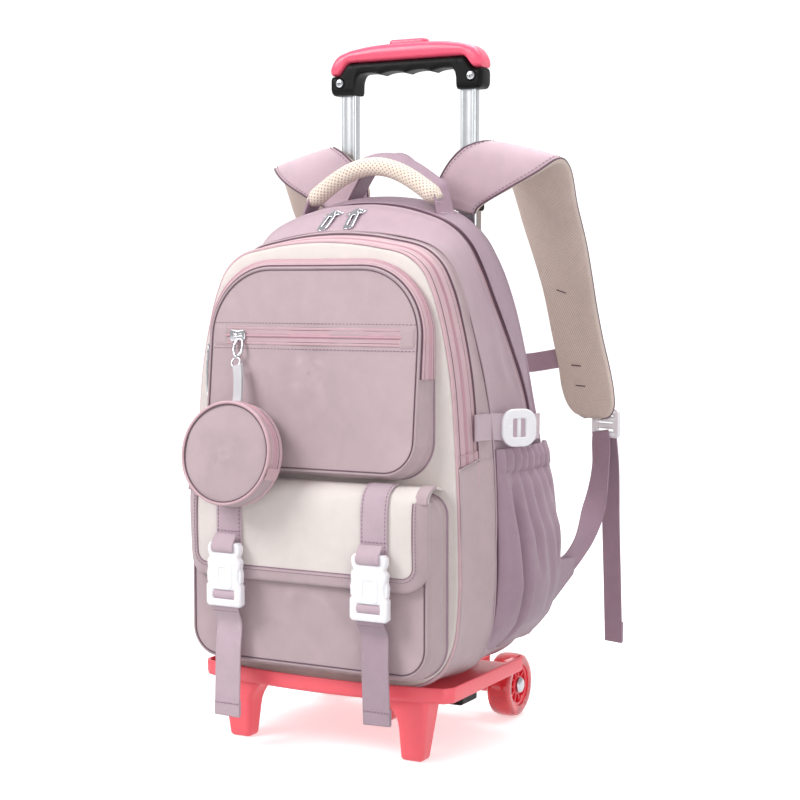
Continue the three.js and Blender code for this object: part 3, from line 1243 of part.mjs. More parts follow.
function wheels() {
  const axleZ = WHEEL_RADIUS;
  const capOut = WHEEL_X + WHEEL_WIDE / 2 + 2;
  const capIn = capOut - 3;
  const profile = [[0, -capOut], [AXLE_CAP, -capOut], [AXLE_CAP, -capIn], [AXLE_RADIUS, -capIn],
    [AXLE_RADIUS, capIn], [AXLE_CAP, capIn], [AXLE_CAP, capOut], [0, capOut]];
  const rod = new THREE.LatheGeometry(profile.map(([r, x]) => new THREE.Vector2(r, x)), 14)
    .rotateZ(-Math.PI / 2).translate(0, AXLE_Y, axleZ);
  add('axle', body(solid(rod)), 'aluminium');
  const hubHalf = WHEEL_WIDE / 2 - 2;
  for (const side of [-1, 1]) {
    const name = side < 0 ? 'left' : 'right';
    const wheelX = side * WHEEL_X;
    const disc = new THREE.Shape();
    disc.absarc(0, 0, HUB_RADIUS, 0, Math.PI * 2);
    const bore = new THREE.Path();
    bore.absarc(0, 0, AXLE_RADIUS + TURN_CLEAR, 0, Math.PI * 2);
    disc.holes.push(bore);
    for (let i = 0; i < SPOKES; i++) {
      const a = (i / SPOKES) * Math.PI * 2;
      const gap = new THREE.Path();
      gap.absarc(12.8 * Math.cos(a), 12.8 * Math.sin(a), 3.6, 0, Math.PI * 2);
      disc.holes.push(gap);
    }
    const hub = new THREE.ExtrudeGeometry(disc, { depth: 2 * hubHalf, bevelEnabled: false, curveSegments: 4 })
      .translate(0, 0, -hubHalf).rotateY(Math.PI / 2).translate(wheelX, AXLE_Y, axleZ);
    add(`hub_${name}`, hub, 'tyreRed');
    const inner = HUB_RADIUS + CLEAR;
    const half = WHEEL_WIDE / 2;
    const section = [[inner, -half * 0.8], [inner + 5, -half], [WHEEL_RADIUS - 4, -half * 0.92], [WHEEL_RADIUS, -half * 0.4],
      [WHEEL_RADIUS, half * 0.4], [WHEEL_RADIUS - 4, half * 0.92], [inner + 5, half], [inner, half * 0.8],
      [inner, -half * 0.8]];
    const tyre = new THREE.LatheGeometry(section.map(([r, x]) => new THREE.Vector2(r, x)), 20)
      .rotateZ(-Math.PI / 2).translate(wheelX, AXLE_Y, axleZ);
    add(`tyre_${name}`, body(solid(tyre)), 'tyreRed');
  }
}

mainBag();
panels();
upperPocket();
lowerPocket();
flap();
frontWebbing();
sidePockets();
sideStraps();
carryHandle();
rearLoop();
shoulderStraps();
chestStrap();
pouch();
pulls();
grip();
tubes();
baseTray();
wheels();

// The origin is under the middle of the whole object's box, on the floor
const whole = new THREE.Box3().setFromObject(bag);
bag.position.set(-(whole.min.x + whole.max.x) / 2, -(whole.min.y + whole.max.y) / 2, -whole.min.z);
const backpack = new THREE.Group();
backpack.add(bag);

export default backpack;
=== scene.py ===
# %% [markdown]
# A wheeled school backpack
#
# The real thing is a soft nylon bag that stands on a moulded tray, with a pull-out handle behind
# it. The CAD model says where every piece is and how it moves. This lesson dresses it: each piece
# gets a fine mesh of its own in the same place, with its seams, stitches and weave.

# %% Load the frame
import math

import bmesh
import bpy
import numpy as np
from mathutils import Matrix, Vector, noise


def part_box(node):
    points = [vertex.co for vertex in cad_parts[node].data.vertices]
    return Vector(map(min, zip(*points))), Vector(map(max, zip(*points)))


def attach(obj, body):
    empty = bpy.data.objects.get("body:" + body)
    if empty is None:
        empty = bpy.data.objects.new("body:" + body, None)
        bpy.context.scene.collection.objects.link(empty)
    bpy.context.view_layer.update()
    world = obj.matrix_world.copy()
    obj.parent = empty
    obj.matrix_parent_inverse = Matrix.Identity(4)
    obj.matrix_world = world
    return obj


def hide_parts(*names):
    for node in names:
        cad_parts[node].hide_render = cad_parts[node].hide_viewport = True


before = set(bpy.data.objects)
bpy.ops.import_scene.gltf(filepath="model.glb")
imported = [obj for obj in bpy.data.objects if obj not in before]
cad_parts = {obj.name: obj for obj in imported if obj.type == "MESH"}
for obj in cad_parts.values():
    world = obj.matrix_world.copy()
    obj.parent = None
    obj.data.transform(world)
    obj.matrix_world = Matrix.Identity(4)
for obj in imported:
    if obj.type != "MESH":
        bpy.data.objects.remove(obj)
bpy.context.view_layer.update()

# %% [markdown]
# Everything here is worked out in millimetres, in the frame that the bag was measured in: x = 0 is
# its plane of symmetry, y = 0 is near its back, z = 0 is the floor. The CAD model moves the bag so
# that its box is centred, and the front panel tells how far.

# %% Sizes that the pieces share
FACE = -149.15  # front of the cream panel
CLEAR = 0.3  # gap between a pocket and the panel that it is sewn to
WEBBING = 1.6  # thickness of every strap
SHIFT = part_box("front_panel")[0].y * 1000 - FACE
BAG_HALF = 147.0
BAG_TOP = 508.0
BAG_BOTTOM = 62.0
BAG_FRONT = -147.0
BAG_BACK = 4.0
SIDES = ((1, "right"), (-1, "left"))  # the sign of x, and the name


def place(points):
    """Millimetres of the measuring frame as metres of the CAD frame"""
    return (np.asarray(points, float) + (0, SHIFT, 0)) * 0.001


def box_mm(node):
    """The CAD node's box in millimetres of the measuring frame"""
    low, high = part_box(node)
    return np.array(low) * 1000 - (0, SHIFT, 0), np.array(high) * 1000 - (0, SHIFT, 0)


def middle_mm(node):
    """The middle of the CAD node's box in millimetres of the measuring frame"""
    return sum(box_mm(node)) / 2


print("the bag was moved back by", round(SHIFT, 3), "mm")

# %% [markdown]
# The camera stands where the photographer's did: its place and turn were fitted to the points of
# the bag that mirror each other, and its lens to the width of the picture.

# %% Camera
EYE = (788.8, -1470.5, 423.8)
YAW = math.radians(28.2)
PITCH = math.radians(3.89)
FOCAL_PIXELS = 1707.63
PICTURE = 800

camera_data = bpy.data.cameras.new("camera")
camera_data.sensor_width = 36
camera_data.lens = FOCAL_PIXELS / PICTURE * camera_data.sensor_width
camera_data.clip_start = 0.05
camera = bpy.data.objects.new("camera", camera_data)
bpy.context.scene.collection.objects.link(camera)
camera.location = place(EYE)
camera.rotation_euler = (math.pi / 2 - PITCH, 0, YAW)
bpy.context.scene.camera = camera
bpy.context.scene.view_settings.view_transform = "Standard"
print("camera lens", round(camera_data.lens, 2), "mm")

# %% [markdown]
# Materials come first, because each piece names one. Two effects repeat in nearly all of them, so
# each is a node group: a weave, made of crossing waves along the cloth's own lengths, and a slow
# drift of tone, as dye and handling leave in any cloth. The cloth meshes carry their true lengths
# as UV coordinates, in metres, so a thread has the same size on every piece.

# %% Small helpers for shader nodes
def add_node(tree, kind, inputs=None, **settings):
    """A new node with its settings and the values of its input sockets"""
    made = tree.nodes.new(kind)
    for name, value in settings.items():
        setattr(made, name, value)
    for name, value in (inputs or {}).items():
        made.inputs[name].default_value = value
    return made


def calculate(tree, operation, first, second=None):
    """A math node; first and second are numbers or sockets"""
    made = tree.nodes.new("ShaderNodeMath")
    made.operation = operation
    for socket, value in zip(made.inputs, (first, second)):
        if value is None:
            continue
        if isinstance(value, (int, float)):
            socket.default_value = value
        else:
            tree.links.new(value, socket)
    return made.outputs[0]


def noise_height(tree, **values):
    """A noise texture over the object's own coordinates"""
    spot = tree.nodes.new("ShaderNodeTexCoord")
    texture = add_node(tree, "ShaderNodeTexNoise", values)
    tree.links.new(spot.outputs["Object"], texture.inputs["Vector"])
    return texture.outputs[0]


def new_group(name, inputs, outputs):
    """An empty node group with float, vector or colour sockets"""
    group = bpy.data.node_groups.new(name, "ShaderNodeTree")
    kinds = {"float": "NodeSocketFloat", "vector": "NodeSocketVector", "colour": "NodeSocketColor"}
    for socket, kind in inputs:
        group.interface.new_socket(socket, in_out="INPUT", socket_type=kinds[kind])
    for socket, kind in outputs:
        group.interface.new_socket(socket, in_out="OUTPUT", socket_type=kinds[kind])
    return group, group.nodes.new("NodeGroupInput"), group.nodes.new("NodeGroupOutput")


# %% The weave group: threads along and across, as a height
def weave_group():
    group, given, result = new_group(
        "weave", [("Lengths", "vector"), ("Along", "float"), ("Across", "float"), ("Slant", "float")],
        [("Height", "float")])
    parts = group.nodes.new("ShaderNodeSeparateXYZ")
    group.links.new(given.outputs["Lengths"], parts.inputs[0])
    along = calculate(group, "MULTIPLY", parts.outputs[0], given.outputs["Along"])
    across = calculate(group, "MULTIPLY", parts.outputs[1], given.outputs["Across"])
    slanted = calculate(group, "ADD", along, calculate(group, "MULTIPLY", across, given.outputs["Slant"]))
    first = calculate(group, "SINE", calculate(group, "MULTIPLY", slanted, math.tau))
    second = calculate(group, "SINE", calculate(group, "MULTIPLY", across, math.tau))
    height = calculate(group, "MULTIPLY", first, second)
    group.links.new(calculate(group, "MULTIPLY_ADD", height, 0.5), result.inputs["Height"])
    return group


# %% The tone group: slow changes of shade over a surface
def tone_group():
    group, given, result = new_group(
        "tone", [("Place", "vector"), ("Size", "float"), ("Fine", "float")], [("Mask", "float")])
    slow = add_node(group, "ShaderNodeTexNoise", {"Detail": 3.0, "Roughness": 0.5})
    fine = add_node(group, "ShaderNodeTexNoise", {"Detail": 5.0, "Roughness": 0.6})
    for texture, size in ((slow, "Size"), (fine, "Fine")):
        group.links.new(given.outputs["Place"], texture.inputs["Vector"])
        group.links.new(given.outputs[size], texture.inputs["Scale"])
    both = calculate(group, "MULTIPLY", calculate(group, "ADD", slow.outputs[0], fine.outputs[0]), 0.5)
    group.links.new(both, result.inputs["Mask"])
    return group


WEAVE = weave_group()
TONE = tone_group()
print("groups", WEAVE.name, TONE.name)


# %% [markdown]
# A cloth's colour moves between two near shades by the tone group's mask. Its weave and its fine
# crumple feed one bump. Sheen stands for the loose fibres of nylon, and is set on the shader's own
# socket. Colours are written as they look on screen and turned into linear light.

# %% Cloth, plastic and metal finishes
def linear(red, green, blue):
    """A screen colour, 0 to 255, as linear light"""
    channels = [value / 255 for value in (red, green, blue)]
    return (*[c / 12.92 if c <= 0.04045 else ((c + 0.055) / 1.055) ** 2.4 for c in channels], 1.0)


def shaded(colour, by):
    """A screen colour made lighter or darker by a share"""
    return tuple(min(255, max(0, value * by)) for value in colour)


def start_material(name, roughness, metallic=0.0):
    """A new material, its node tree and its Principled shader"""
    made = bpy.data.materials.new(name)
    made.use_nodes = True
    shader = made.node_tree.nodes["Principled BSDF"]
    shader.inputs["Roughness"].default_value = roughness
    shader.inputs["Metallic"].default_value = metallic
    return made, made.node_tree, shader


def mixed_colour(tree, mask, first, second):
    """A colour between two by a mask"""
    blend = tree.nodes.new("ShaderNodeMix")
    blend.data_type = "RGBA"
    tree.links.new(mask, blend.inputs["Factor"])
    blend.inputs["A"].default_value = first
    blend.inputs["B"].default_value = second
    return blend.outputs["Result"]


def tone_mask(tree, size, fine, contrast=2.2):
    """The tone group's mask, stretched so that both shades show"""
    spot = tree.nodes.new("ShaderNodeTexCoord")
    tone = add_node(tree, "ShaderNodeGroup", node_tree=TONE)
    tree.links.new(spot.outputs["Object"], tone.inputs["Place"])
    tone.inputs["Size"].default_value = size
    tone.inputs["Fine"].default_value = fine
    centred = calculate(tree, "SUBTRACT", tone.outputs["Mask"], 0.5)
    stretched = calculate(tree, "MULTIPLY", centred, contrast)
    final = tree.nodes.new("ShaderNodeClamp")
    tree.links.new(calculate(tree, "ADD", stretched, 0.5), final.inputs["Value"])
    return final.outputs[0]


def two_shades(tree, mask, colour, low, high):
    """A colour that drifts between two shades of itself"""
    return mixed_colour(tree, mask, linear(*shaded(colour, low)), linear(*shaded(colour, high)))


def bump_from(tree, shader, height, distance):
    """Feeds a height to the shader's normal; distance is in metres"""
    bump = add_node(tree, "ShaderNodeBump", {"Strength": 1.0, "Distance": distance})
    tree.links.new(height, bump.inputs["Height"])
    tree.links.new(bump.outputs["Normal"], shader.inputs["Normal"])


# %% Woven cloth
def cloth_finish(
        name, colour, roughness=0.55, sheen=0.25, along=2600.0, across=2600.0, slant=0.5, thread=0.00012,
        crumple=0.0005, variety=0.045, tone_size=9.0):
    """Woven cloth: along and across are threads to the metre, thread is the height of one"""
    made, tree, shader = start_material(name, roughness)
    shades = two_shades(tree, tone_mask(tree, tone_size, 70.0), colour, 1 - variety, 1 + variety)
    tree.links.new(shades, shader.inputs["Base Color"])
    shader.inputs["Sheen Weight"].default_value = sheen
    shader.inputs["Sheen Roughness"].default_value = 0.4
    lengths = tree.nodes.new("ShaderNodeUVMap")
    weave = add_node(
        tree, "ShaderNodeGroup", {"Along": along, "Across": across, "Slant": slant}, node_tree=WEAVE)
    tree.links.new(lengths.outputs["UV"], weave.inputs["Lengths"])
    folds = noise_height(tree, Scale=55.0, Detail=3.0, Roughness=0.45)
    threads = calculate(tree, "MULTIPLY", weave.outputs["Height"], thread / 0.001)
    soft = calculate(tree, "MULTIPLY", folds, crumple / 0.001)
    bump_from(tree, shader, calculate(tree, "ADD", threads, soft), 0.001)
    return made


# %% Spacer mesh
def mesh_finish(name, colour, hole_colour, pitch):
    """Spacer mesh: rows of small round holes, each row half a step on from the last"""
    made, tree, shader = start_material(name, 0.8)
    lengths = tree.nodes.new("ShaderNodeUVMap")
    parts = tree.nodes.new("ShaderNodeSeparateXYZ")
    tree.links.new(lengths.outputs["UV"], parts.inputs[0])
    turn = math.tau / pitch
    along = calculate(tree, "COSINE", calculate(tree, "MULTIPLY", parts.outputs[0], turn))
    across = calculate(tree, "COSINE", calculate(tree, "MULTIPLY", parts.outputs[1], turn))
    holes = calculate(tree, "MULTIPLY", along, across)
    mask = tree.nodes.new("ShaderNodeMapRange")
    mask.inputs["From Min"].default_value = 0.35
    mask.inputs["From Max"].default_value = 0.75
    tree.links.new(holes, mask.inputs["Value"])
    ground = tree.nodes.new("ShaderNodeMix")
    ground.data_type = "RGBA"
    tone = two_shades(tree, tone_mask(tree, 20.0, 160.0), colour, 0.95, 1.03)
    tree.links.new(mask.outputs[0], ground.inputs["Factor"])
    tree.links.new(tone, ground.inputs["A"])
    ground.inputs["B"].default_value = linear(*hole_colour)
    tree.links.new(ground.outputs["Result"], shader.inputs["Base Color"])
    shader.inputs["Sheen Weight"].default_value = 0.2
    bump_from(tree, shader, calculate(tree, "MULTIPLY", mask.outputs[0], -1.0), 0.0007)
    return made


# %% Plastic and metal
def moulded_finish(name, colour, roughness=0.35, grain=0.00008, variety=0.03, coat=0.0, through=0.0):
    """Moulded plastic: fine grain, and a slow random drift of tone and roughness"""
    made, tree, shader = start_material(name, roughness)
    mask = tone_mask(tree, 14.0, 120.0)
    tree.links.new(two_shades(tree, mask, colour, 1 - variety, 1 + variety), shader.inputs["Base Color"])
    shader.inputs["Coat Weight"].default_value = coat
    shader.inputs["Subsurface Weight"].default_value = through
    shader.inputs["Subsurface Radius"].default_value = (0.01, 0.004, 0.004)
    shader.inputs["Subsurface Scale"].default_value = 0.5
    rough = tree.nodes.new("ShaderNodeMapRange")
    rough.inputs["To Min"].default_value = roughness * 0.85
    rough.inputs["To Max"].default_value = min(1.0, roughness * 1.2)
    tree.links.new(mask, rough.inputs["Value"])
    tree.links.new(rough.outputs[0], shader.inputs["Roughness"])
    bump_from(tree, shader, noise_height(tree, Scale=900.0, Detail=2.0), grain)
    return made


def metal_finish(name, colour, roughness, brushed=0.0):
    """Polished or brushed metal: brushed is the depth of the fine lines along Z"""
    made, tree, shader = start_material(name, roughness, 1.0)
    mask = tone_mask(tree, 25.0, 200.0)
    tree.links.new(two_shades(tree, mask, colour, 0.94, 1.04), shader.inputs["Base Color"])
    spot = tree.nodes.new("ShaderNodeTexCoord")
    stretch = add_node(tree, "ShaderNodeMapping", {"Scale": (1400.0, 1400.0, 12.0)})
    tree.links.new(spot.outputs["Object"], stretch.inputs["Vector"])
    lines = add_node(tree, "ShaderNodeTexNoise", {"Scale": 1.0, "Detail": 3.0})
    tree.links.new(stretch.outputs["Vector"], lines.inputs["Vector"])
    bump_from(tree, shader, lines.outputs[0], max(brushed, 0.00001))
    return made


# %% The bag's materials
WEBBING_WEAVE = dict(along=650.0, across=420.0, slant=0.0, thread=0.0005)  # coarse threads
MATERIALS = {
    "mauve": cloth_finish("mauve nylon", (193, 171, 177)),
    "gusset": cloth_finish("gusset nylon", (187, 160, 171)),
    "side": cloth_finish("side nylon", (170, 142, 158), crumple=0.0007),
    "cream": cloth_finish("cream nylon", (238, 228, 224), sheen=0.15, variety=0.025),
    "tape": cloth_finish("zip tape", (216, 180, 188), along=900.0, across=1400.0, slant=0.0, thread=0.0003),
    "coil": moulded_finish("zip coil", (190, 146, 158), 0.4),
    "piping": cloth_finish("edge piping", (216, 180, 188), along=1800.0, across=1800.0),
    "dark": cloth_finish("seam shadow", (104, 76, 90), along=1800.0, across=1800.0),
    "pad_cloth": cloth_finish("pad satin", (212, 184, 194)),
    # a darker copy of the webbing, for the right front tail: painted shade
    "webbing_low": cloth_finish("webbing with painted shade", (178, 154, 167), **WEBBING_WEAVE),
    "webbing": cloth_finish("webbing", (204, 180, 191), sheen=0.35, **WEBBING_WEAVE),
    "webbing_dark": cloth_finish("dark webbing", (172, 140, 158), **WEBBING_WEAVE),
    "ribbon": cloth_finish(
        "light ribbon", (205, 203, 208), along=900.0, across=600.0, slant=0.0, thread=0.0003),
    "spacer": mesh_finish("spacer mesh", (240, 228, 212), (196, 154, 152), 0.0046),
    "pad_mesh": mesh_finish("fine spacer mesh", (232, 213, 203), (194, 172, 164), 0.0030),
    "thread": moulded_finish("stitching thread", (150, 120, 138), 0.6),
    "thread_light": moulded_finish("light thread", (222, 205, 214), 0.6),
    "buckle": moulded_finish("white plastic", (243, 241, 246), 0.25, through=0.1),
    "clasp": moulded_finish("mauve plastic", (170, 142, 160), 0.35),
    "chrome": metal_finish("chrome", (202, 202, 207), 0.12),
    "tube": metal_finish("aluminium", (214, 217, 220), 0.3, 0.00003),
    "screw": metal_finish("screw steel", (190, 192, 196), 0.3),
    "shell": moulded_finish("grip shell", (250, 92, 122), 0.3, through=0.15),
    "black": moulded_finish("black plastic", (5, 5, 6), 0.45, grain=0.0002),
    "coral": moulded_finish("tray plastic", (255, 100, 112), 0.38, through=0.15),
    "hub": moulded_finish("hub plastic", (232, 40, 58), 0.25, coat=0.3),
}
black_shader = MATERIALS["black"].node_tree.nodes["Principled BSDF"]
black_shader.inputs["Specular IOR Level"].default_value = 0.15
print("materials", len(MATERIALS))

# %% [markdown]
# The wheels' tyres are clear polyurethane, so light goes through them: transmission with a red
# tint, a plain roughness, and a thin coat for the wet look of the moulding.

# %% Clear tyre
def tyre_finish(name, colour):
    """Clear tinted plastic"""
    made, tree, shader = start_material(name, 0.12)
    mask = tone_mask(tree, 60.0, 240.0)
    tree.links.new(two_shades(tree, mask, colour, 0.9, 1.1), shader.inputs["Base Color"])
    shader.inputs["Transmission Weight"].default_value = 0.55
    shader.inputs["IOR"].default_value = 1.45
    shader.inputs["Coat Weight"].default_value = 0.4
    return made


MATERIALS["tyre"] = tyre_finish("clear red tyre", (238, 62, 74))

# %% [markdown]
# Most pieces are a grid of points: a strip of cloth, or a section carried along a path. One helper
# turns such a grid into a mesh, with UVs that hold its real lengths, and another thickens it.

# %% From a grid of points to a mesh
def lengths_along(grid, axis):
    """Running length of the grid's middle line in metres, one more than its points if it closes"""
    middle = np.take(grid, grid.shape[1 - axis] // 2, 1 - axis)
    steps = np.linalg.norm(np.roll(middle, -1, 0) - middle, axis=1)
    return np.concatenate([[0], np.cumsum(steps)]) * 0.001


def link(made):
    """Puts an object into the scene"""
    bpy.context.scene.collection.objects.link(made)
    return made


def new_piece(name, points, faces, corner_uvs, materials, face_slots=None, body="bag", slot=None):
    """A mesh object from points in millimetres, riding on a body"""
    mesh = bpy.data.meshes.new(name)
    mesh.from_pydata([tuple(p) for p in place(points)], [], [tuple(f) for f in faces])
    if corner_uvs is not None:
        layer = mesh.uv_layers.new(name="lengths")
        layer.data.foreach_set("uv", np.asarray(corner_uvs, float).ravel())
    for key in materials if isinstance(materials, (list, tuple)) else [materials]:
        mesh.materials.append(MATERIALS[key])
    if face_slots is not None:
        mesh.polygons.foreach_set("material_index", np.asarray(face_slots, int))
    mesh.polygons.foreach_set("use_smooth", [True] * len(mesh.polygons))
    mesh.validate()
    piece = link(bpy.data.objects.new(name, mesh))
    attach(piece, body)
    return piece


def grid_piece(name, grid, materials, loop_rows=False, loop_columns=False, slots=None, caps=False, **more):
    """grid[row][column] is a point. A loop joins the last row or column to the first"""
    grid = np.asarray(grid, float)
    rows, columns = grid.shape[:2]
    along = lengths_along(grid, 0)
    across = lengths_along(grid, 1)
    faces = []
    uvs = []
    kinds = []
    for i in range(rows if loop_rows else rows - 1):
        for j in range(columns if loop_columns else columns - 1):
            ni, nj = (i + 1) % rows, (j + 1) % columns
            faces.append((i * columns + j, ni * columns + j, ni * columns + nj, i * columns + nj))
            uvs += [
                (along[i], across[j]), (along[i + 1], across[j]), (along[i + 1], across[j + 1]),
                (along[i], across[j + 1])]
            kinds.append(slots[j] if slots is not None else 0)
    if caps:
        for first, turn in ((0, 1), ((rows - 1) * columns, -1)):
            ring = [first + k for k in range(columns)][::turn]
            faces.append(ring)
            uvs += [(0.0, across[k % columns]) for k in range(columns)]
            kinds.append(slots[0] if slots is not None else 0)
    return new_piece(name, grid.reshape(-1, 3), faces, uvs, materials, kinds, **more)


def settle(piece):
    """Applies a piece's modifiers"""
    graph = bpy.context.evaluated_depsgraph_get()
    mesh = bpy.data.meshes.new_from_object(piece.evaluated_get(graph))
    piece.modifiers.clear()
    piece.data = mesh
    return piece


def thicken(piece, wall, offset=-1.0):
    """Gives a sheet its wall in millimetres, inwards unless offset says otherwise"""
    solid = piece.modifiers.new("wall", "SOLIDIFY")
    solid.thickness = wall * 0.001
    solid.offset = offset
    solid.use_even_offset = False
    return settle(piece)


# %% Padding swelled by a cloth simulation
def swell_by_cloth(piece, held, cap, pressure=4.0, frames=20):
    """Pressure swells a closed piece; the held vertices stay, and the rest move by up to cap millimetres"""
    before = np.array([v.co[:] for v in piece.data.vertices])
    group = piece.vertex_groups.new(name="held")
    group.add([int(index) for index in held], 1.0, "REPLACE")
    cloth = piece.modifiers.new("swell", "CLOTH")
    cloth.settings.quality = 6
    cloth.settings.mass = 0.2
    cloth.settings.vertex_group_mass = "held"
    cloth.settings.use_pressure = True
    cloth.settings.uniform_pressure_force = pressure
    cloth.settings.effector_weights.gravity = 0.0
    cloth.point_cache.frame_start, cloth.point_cache.frame_end = 1, frames
    for step in range(1, frames + 1):
        bpy.context.scene.frame_set(step)
    graph = bpy.context.evaluated_depsgraph_get()
    after = np.array([v.co[:] for v in piece.evaluated_get(graph).data.vertices])
    piece.modifiers.remove(cloth)
    piece.vertex_groups.remove(group)
    bpy.context.scene.frame_set(1)
    move = after - before
    far = np.linalg.norm(move, axis=1, keepdims=True) * 1000
    move *= cap / (cap + far)
    piece.data.vertices.foreach_set("co", (before + move).ravel())
    piece.data.update()
    return float(np.linalg.norm(move, axis=1).max() * 1000)


def tidy_normals(piece):
    """Turns every face of a closed piece outward"""
    work = bmesh.new()
    work.from_mesh(piece.data)
    bmesh.ops.remove_doubles(work, verts=work.verts, dist=1e-6)
    bmesh.ops.recalc_face_normals(work, faces=work.faces)
    work.to_mesh(piece.data)
    work.free()
    return piece


# %% [markdown]
# A strap, cord, tube or bead is one section swept along a path. The section's first direction is
# given (across the strap), and the second follows from the path.

# %% Sweeping a section along a path
def tangents(path, closed=False):
    """The path's direction at each of its points"""
    path = np.asarray(path, float)
    if closed:
        steps = np.roll(path, -1, 0) - np.roll(path, 1, 0)
    else:
        steps = np.gradient(path, axis=0)
    return steps / np.maximum(np.linalg.norm(steps, axis=1, keepdims=True), 1e-9)


def unit(vectors):
    """The same directions with length 1"""
    vectors = np.asarray(vectors, float)
    return vectors / np.maximum(np.linalg.norm(vectors, axis=-1, keepdims=True), 1e-9)


def swept_grid(path, section, across, closed=False, wide=1.0, high=1.0):
    """section holds (across, out) in millimetres; wide and high scale it at each point"""
    path = np.asarray(path, float)
    count = len(path)
    along = tangents(path, closed)
    across = np.broadcast_to(np.asarray(across, float), path.shape)
    across = unit(across - along * (along * across).sum(1, keepdims=True))
    out = np.cross(along, across)
    wide = np.broadcast_to(wide, count)[:, None, None]
    high = np.broadcast_to(high, count)[:, None, None]
    section = np.asarray(section, float)
    sideways = across[:, None] * section[None, :, :1] * wide
    return path[:, None] + sideways + out[:, None] * section[None, :, 1:] * high


def sweep(name, path, section, across, materials, closed=False, wide=1.0, high=1.0, **more):
    """A closed piece with one section all along a path"""
    grid = swept_grid(path, section, across, closed, wide, high)
    piece = grid_piece(name, grid, materials, loop_rows=closed, loop_columns=True, caps=not closed, **more)
    return tidy_normals(piece)


# %% Sections and even paths
def oval(wide, high, sides=10):
    """An oval section from its two half sizes"""
    angles = np.arange(sides) / sides * math.tau
    return np.stack([np.cos(angles) * wide, np.sin(angles) * high], 1)


def strap_section(wide, thick=WEBBING, steps=8):
    """A flat strap with rounded, slightly thicker edges"""
    half = wide / 2
    xs = np.linspace(-half + 0.8, half - 0.8, steps)
    edge = thick / 2 * 1.15
    top = [(x, thick / 2) for x in xs]
    under = [(x, -thick / 2) for x in xs[::-1]]
    return np.array(
        [(-half, 0), (-half + 0.35, edge)] + top + [(half - 0.35, edge), (half, 0), (half - 0.35, -edge)]
        + under + [(-half + 0.35, -edge)])


def smooth_path(points, count):
    """A centripetal curve through points, with equal steps"""
    points = np.asarray(points, float)
    ends = np.vstack([2 * points[0] - points[1], points, 2 * points[-1] - points[-2]])
    dense = []
    for i in range(1, len(ends) - 2):
        dense.append(
            catmull(ends[i - 1], ends[i], ends[i + 1], ends[i + 2], np.linspace(0, 1, 24, endpoint=False)))
    dense = np.vstack(dense + [ends[-2][None]])
    return even_steps(dense, count)


def run_along(path):
    """The path's length up to each of its points"""
    return np.concatenate([[0], np.cumsum(np.linalg.norm(np.diff(path, axis=0), axis=1))])


def even_steps(path, count, closed=False):
    """The same path with points at equal distances"""
    if closed:
        path = np.vstack([path, path[:1]])
    run = run_along(path)
    want = np.linspace(0, run[-1], count + 1 if closed else count)
    found = np.stack([np.interp(want, run, path[:, k]) for k in range(path.shape[1])], 1)
    return found[:-1] if closed else found


def catmull(p0, p1, p2, p3, t):
    """Centripetal Catmull-Rom between p1 and p2, as the CAD model's curves"""
    gap = [max(np.linalg.norm(b - a), 1e-6) ** 0.5 for a, b in ((p0, p1), (p1, p2), (p2, p3))]
    start = (p1 - p0) / gap[0] - (p2 - p0) / (gap[0] + gap[1]) + (p2 - p1) / gap[1]
    end = (p2 - p1) / gap[1] - (p3 - p1) / (gap[1] + gap[2]) + (p3 - p2) / gap[2]
    start, end = start * gap[1], end * gap[1]
    t = np.asarray(t)[:, None]
    square, cube = 3 * (p2 - p1) - 2 * start - end, 2 * (p1 - p2) + start + end
    return p1 + start * t + square * t ** 2 + cube * t ** 3


# %% [markdown]
# Stitches are real geometry: short spindles of thread that dip into the cloth at both ends. On the
# bag they are what shows that a surface is sewn, and a bump alone would not catch the light.

# %% Rows of stitches
def stitches(name, path, out, material="thread", pitch=3.6, long=2.5, thick=0.38, closed=False, body="bag"):
    """Stitches along a path; out is the way they stand out of the cloth, one vector or one a point"""
    path = np.asarray(path, float)
    count = max(2, int(run_along(path)[-1] / pitch))
    out = np.broadcast_to(np.asarray(out, float), path.shape)
    both = even_steps(np.hstack([path, out]), count, closed)
    centres, outs = both[:, :3], unit(both[:, 3:])
    alongs = tangents(centres, closed)
    sides = unit(np.cross(alongs, outs))
    rings = [(-0.5, 0.35, -0.25), (-0.28, 1.0, 0.35), (0.28, 1.0, 0.35), (0.5, 0.35, -0.25)]
    angles = np.arange(6) / 6 * math.tau
    points = []
    faces = []
    for k in range(len(centres)):
        first = len(points)
        for share, size, lift in rings:
            middle = centres[k] + alongs[k] * share * long + outs[k] * lift * thick
            points += [
                middle + (sides[k] * math.cos(a) + outs[k] * math.sin(a)) * thick * size for a in angles]
        for ring in range(3):
            a = first + ring * 6
            faces += [(a + j, a + (j + 1) % 6, a + 6 + (j + 1) % 6, a + 6 + j) for j in range(6)]
        faces += [tuple(first + j for j in range(6))[::-1], tuple(first + 18 + j for j in range(6))]
    return new_piece(name, points, faces, None, material, body=body)


print("helpers ready")

# %% [markdown]
# The bag is sewn between arched outlines, one behind the other. Each outline is the same arch with
# its own size, depth and roundness, so the whole skin is two numbers: u, once round the arch, and
# s, which counts the outlines from the front to the back.

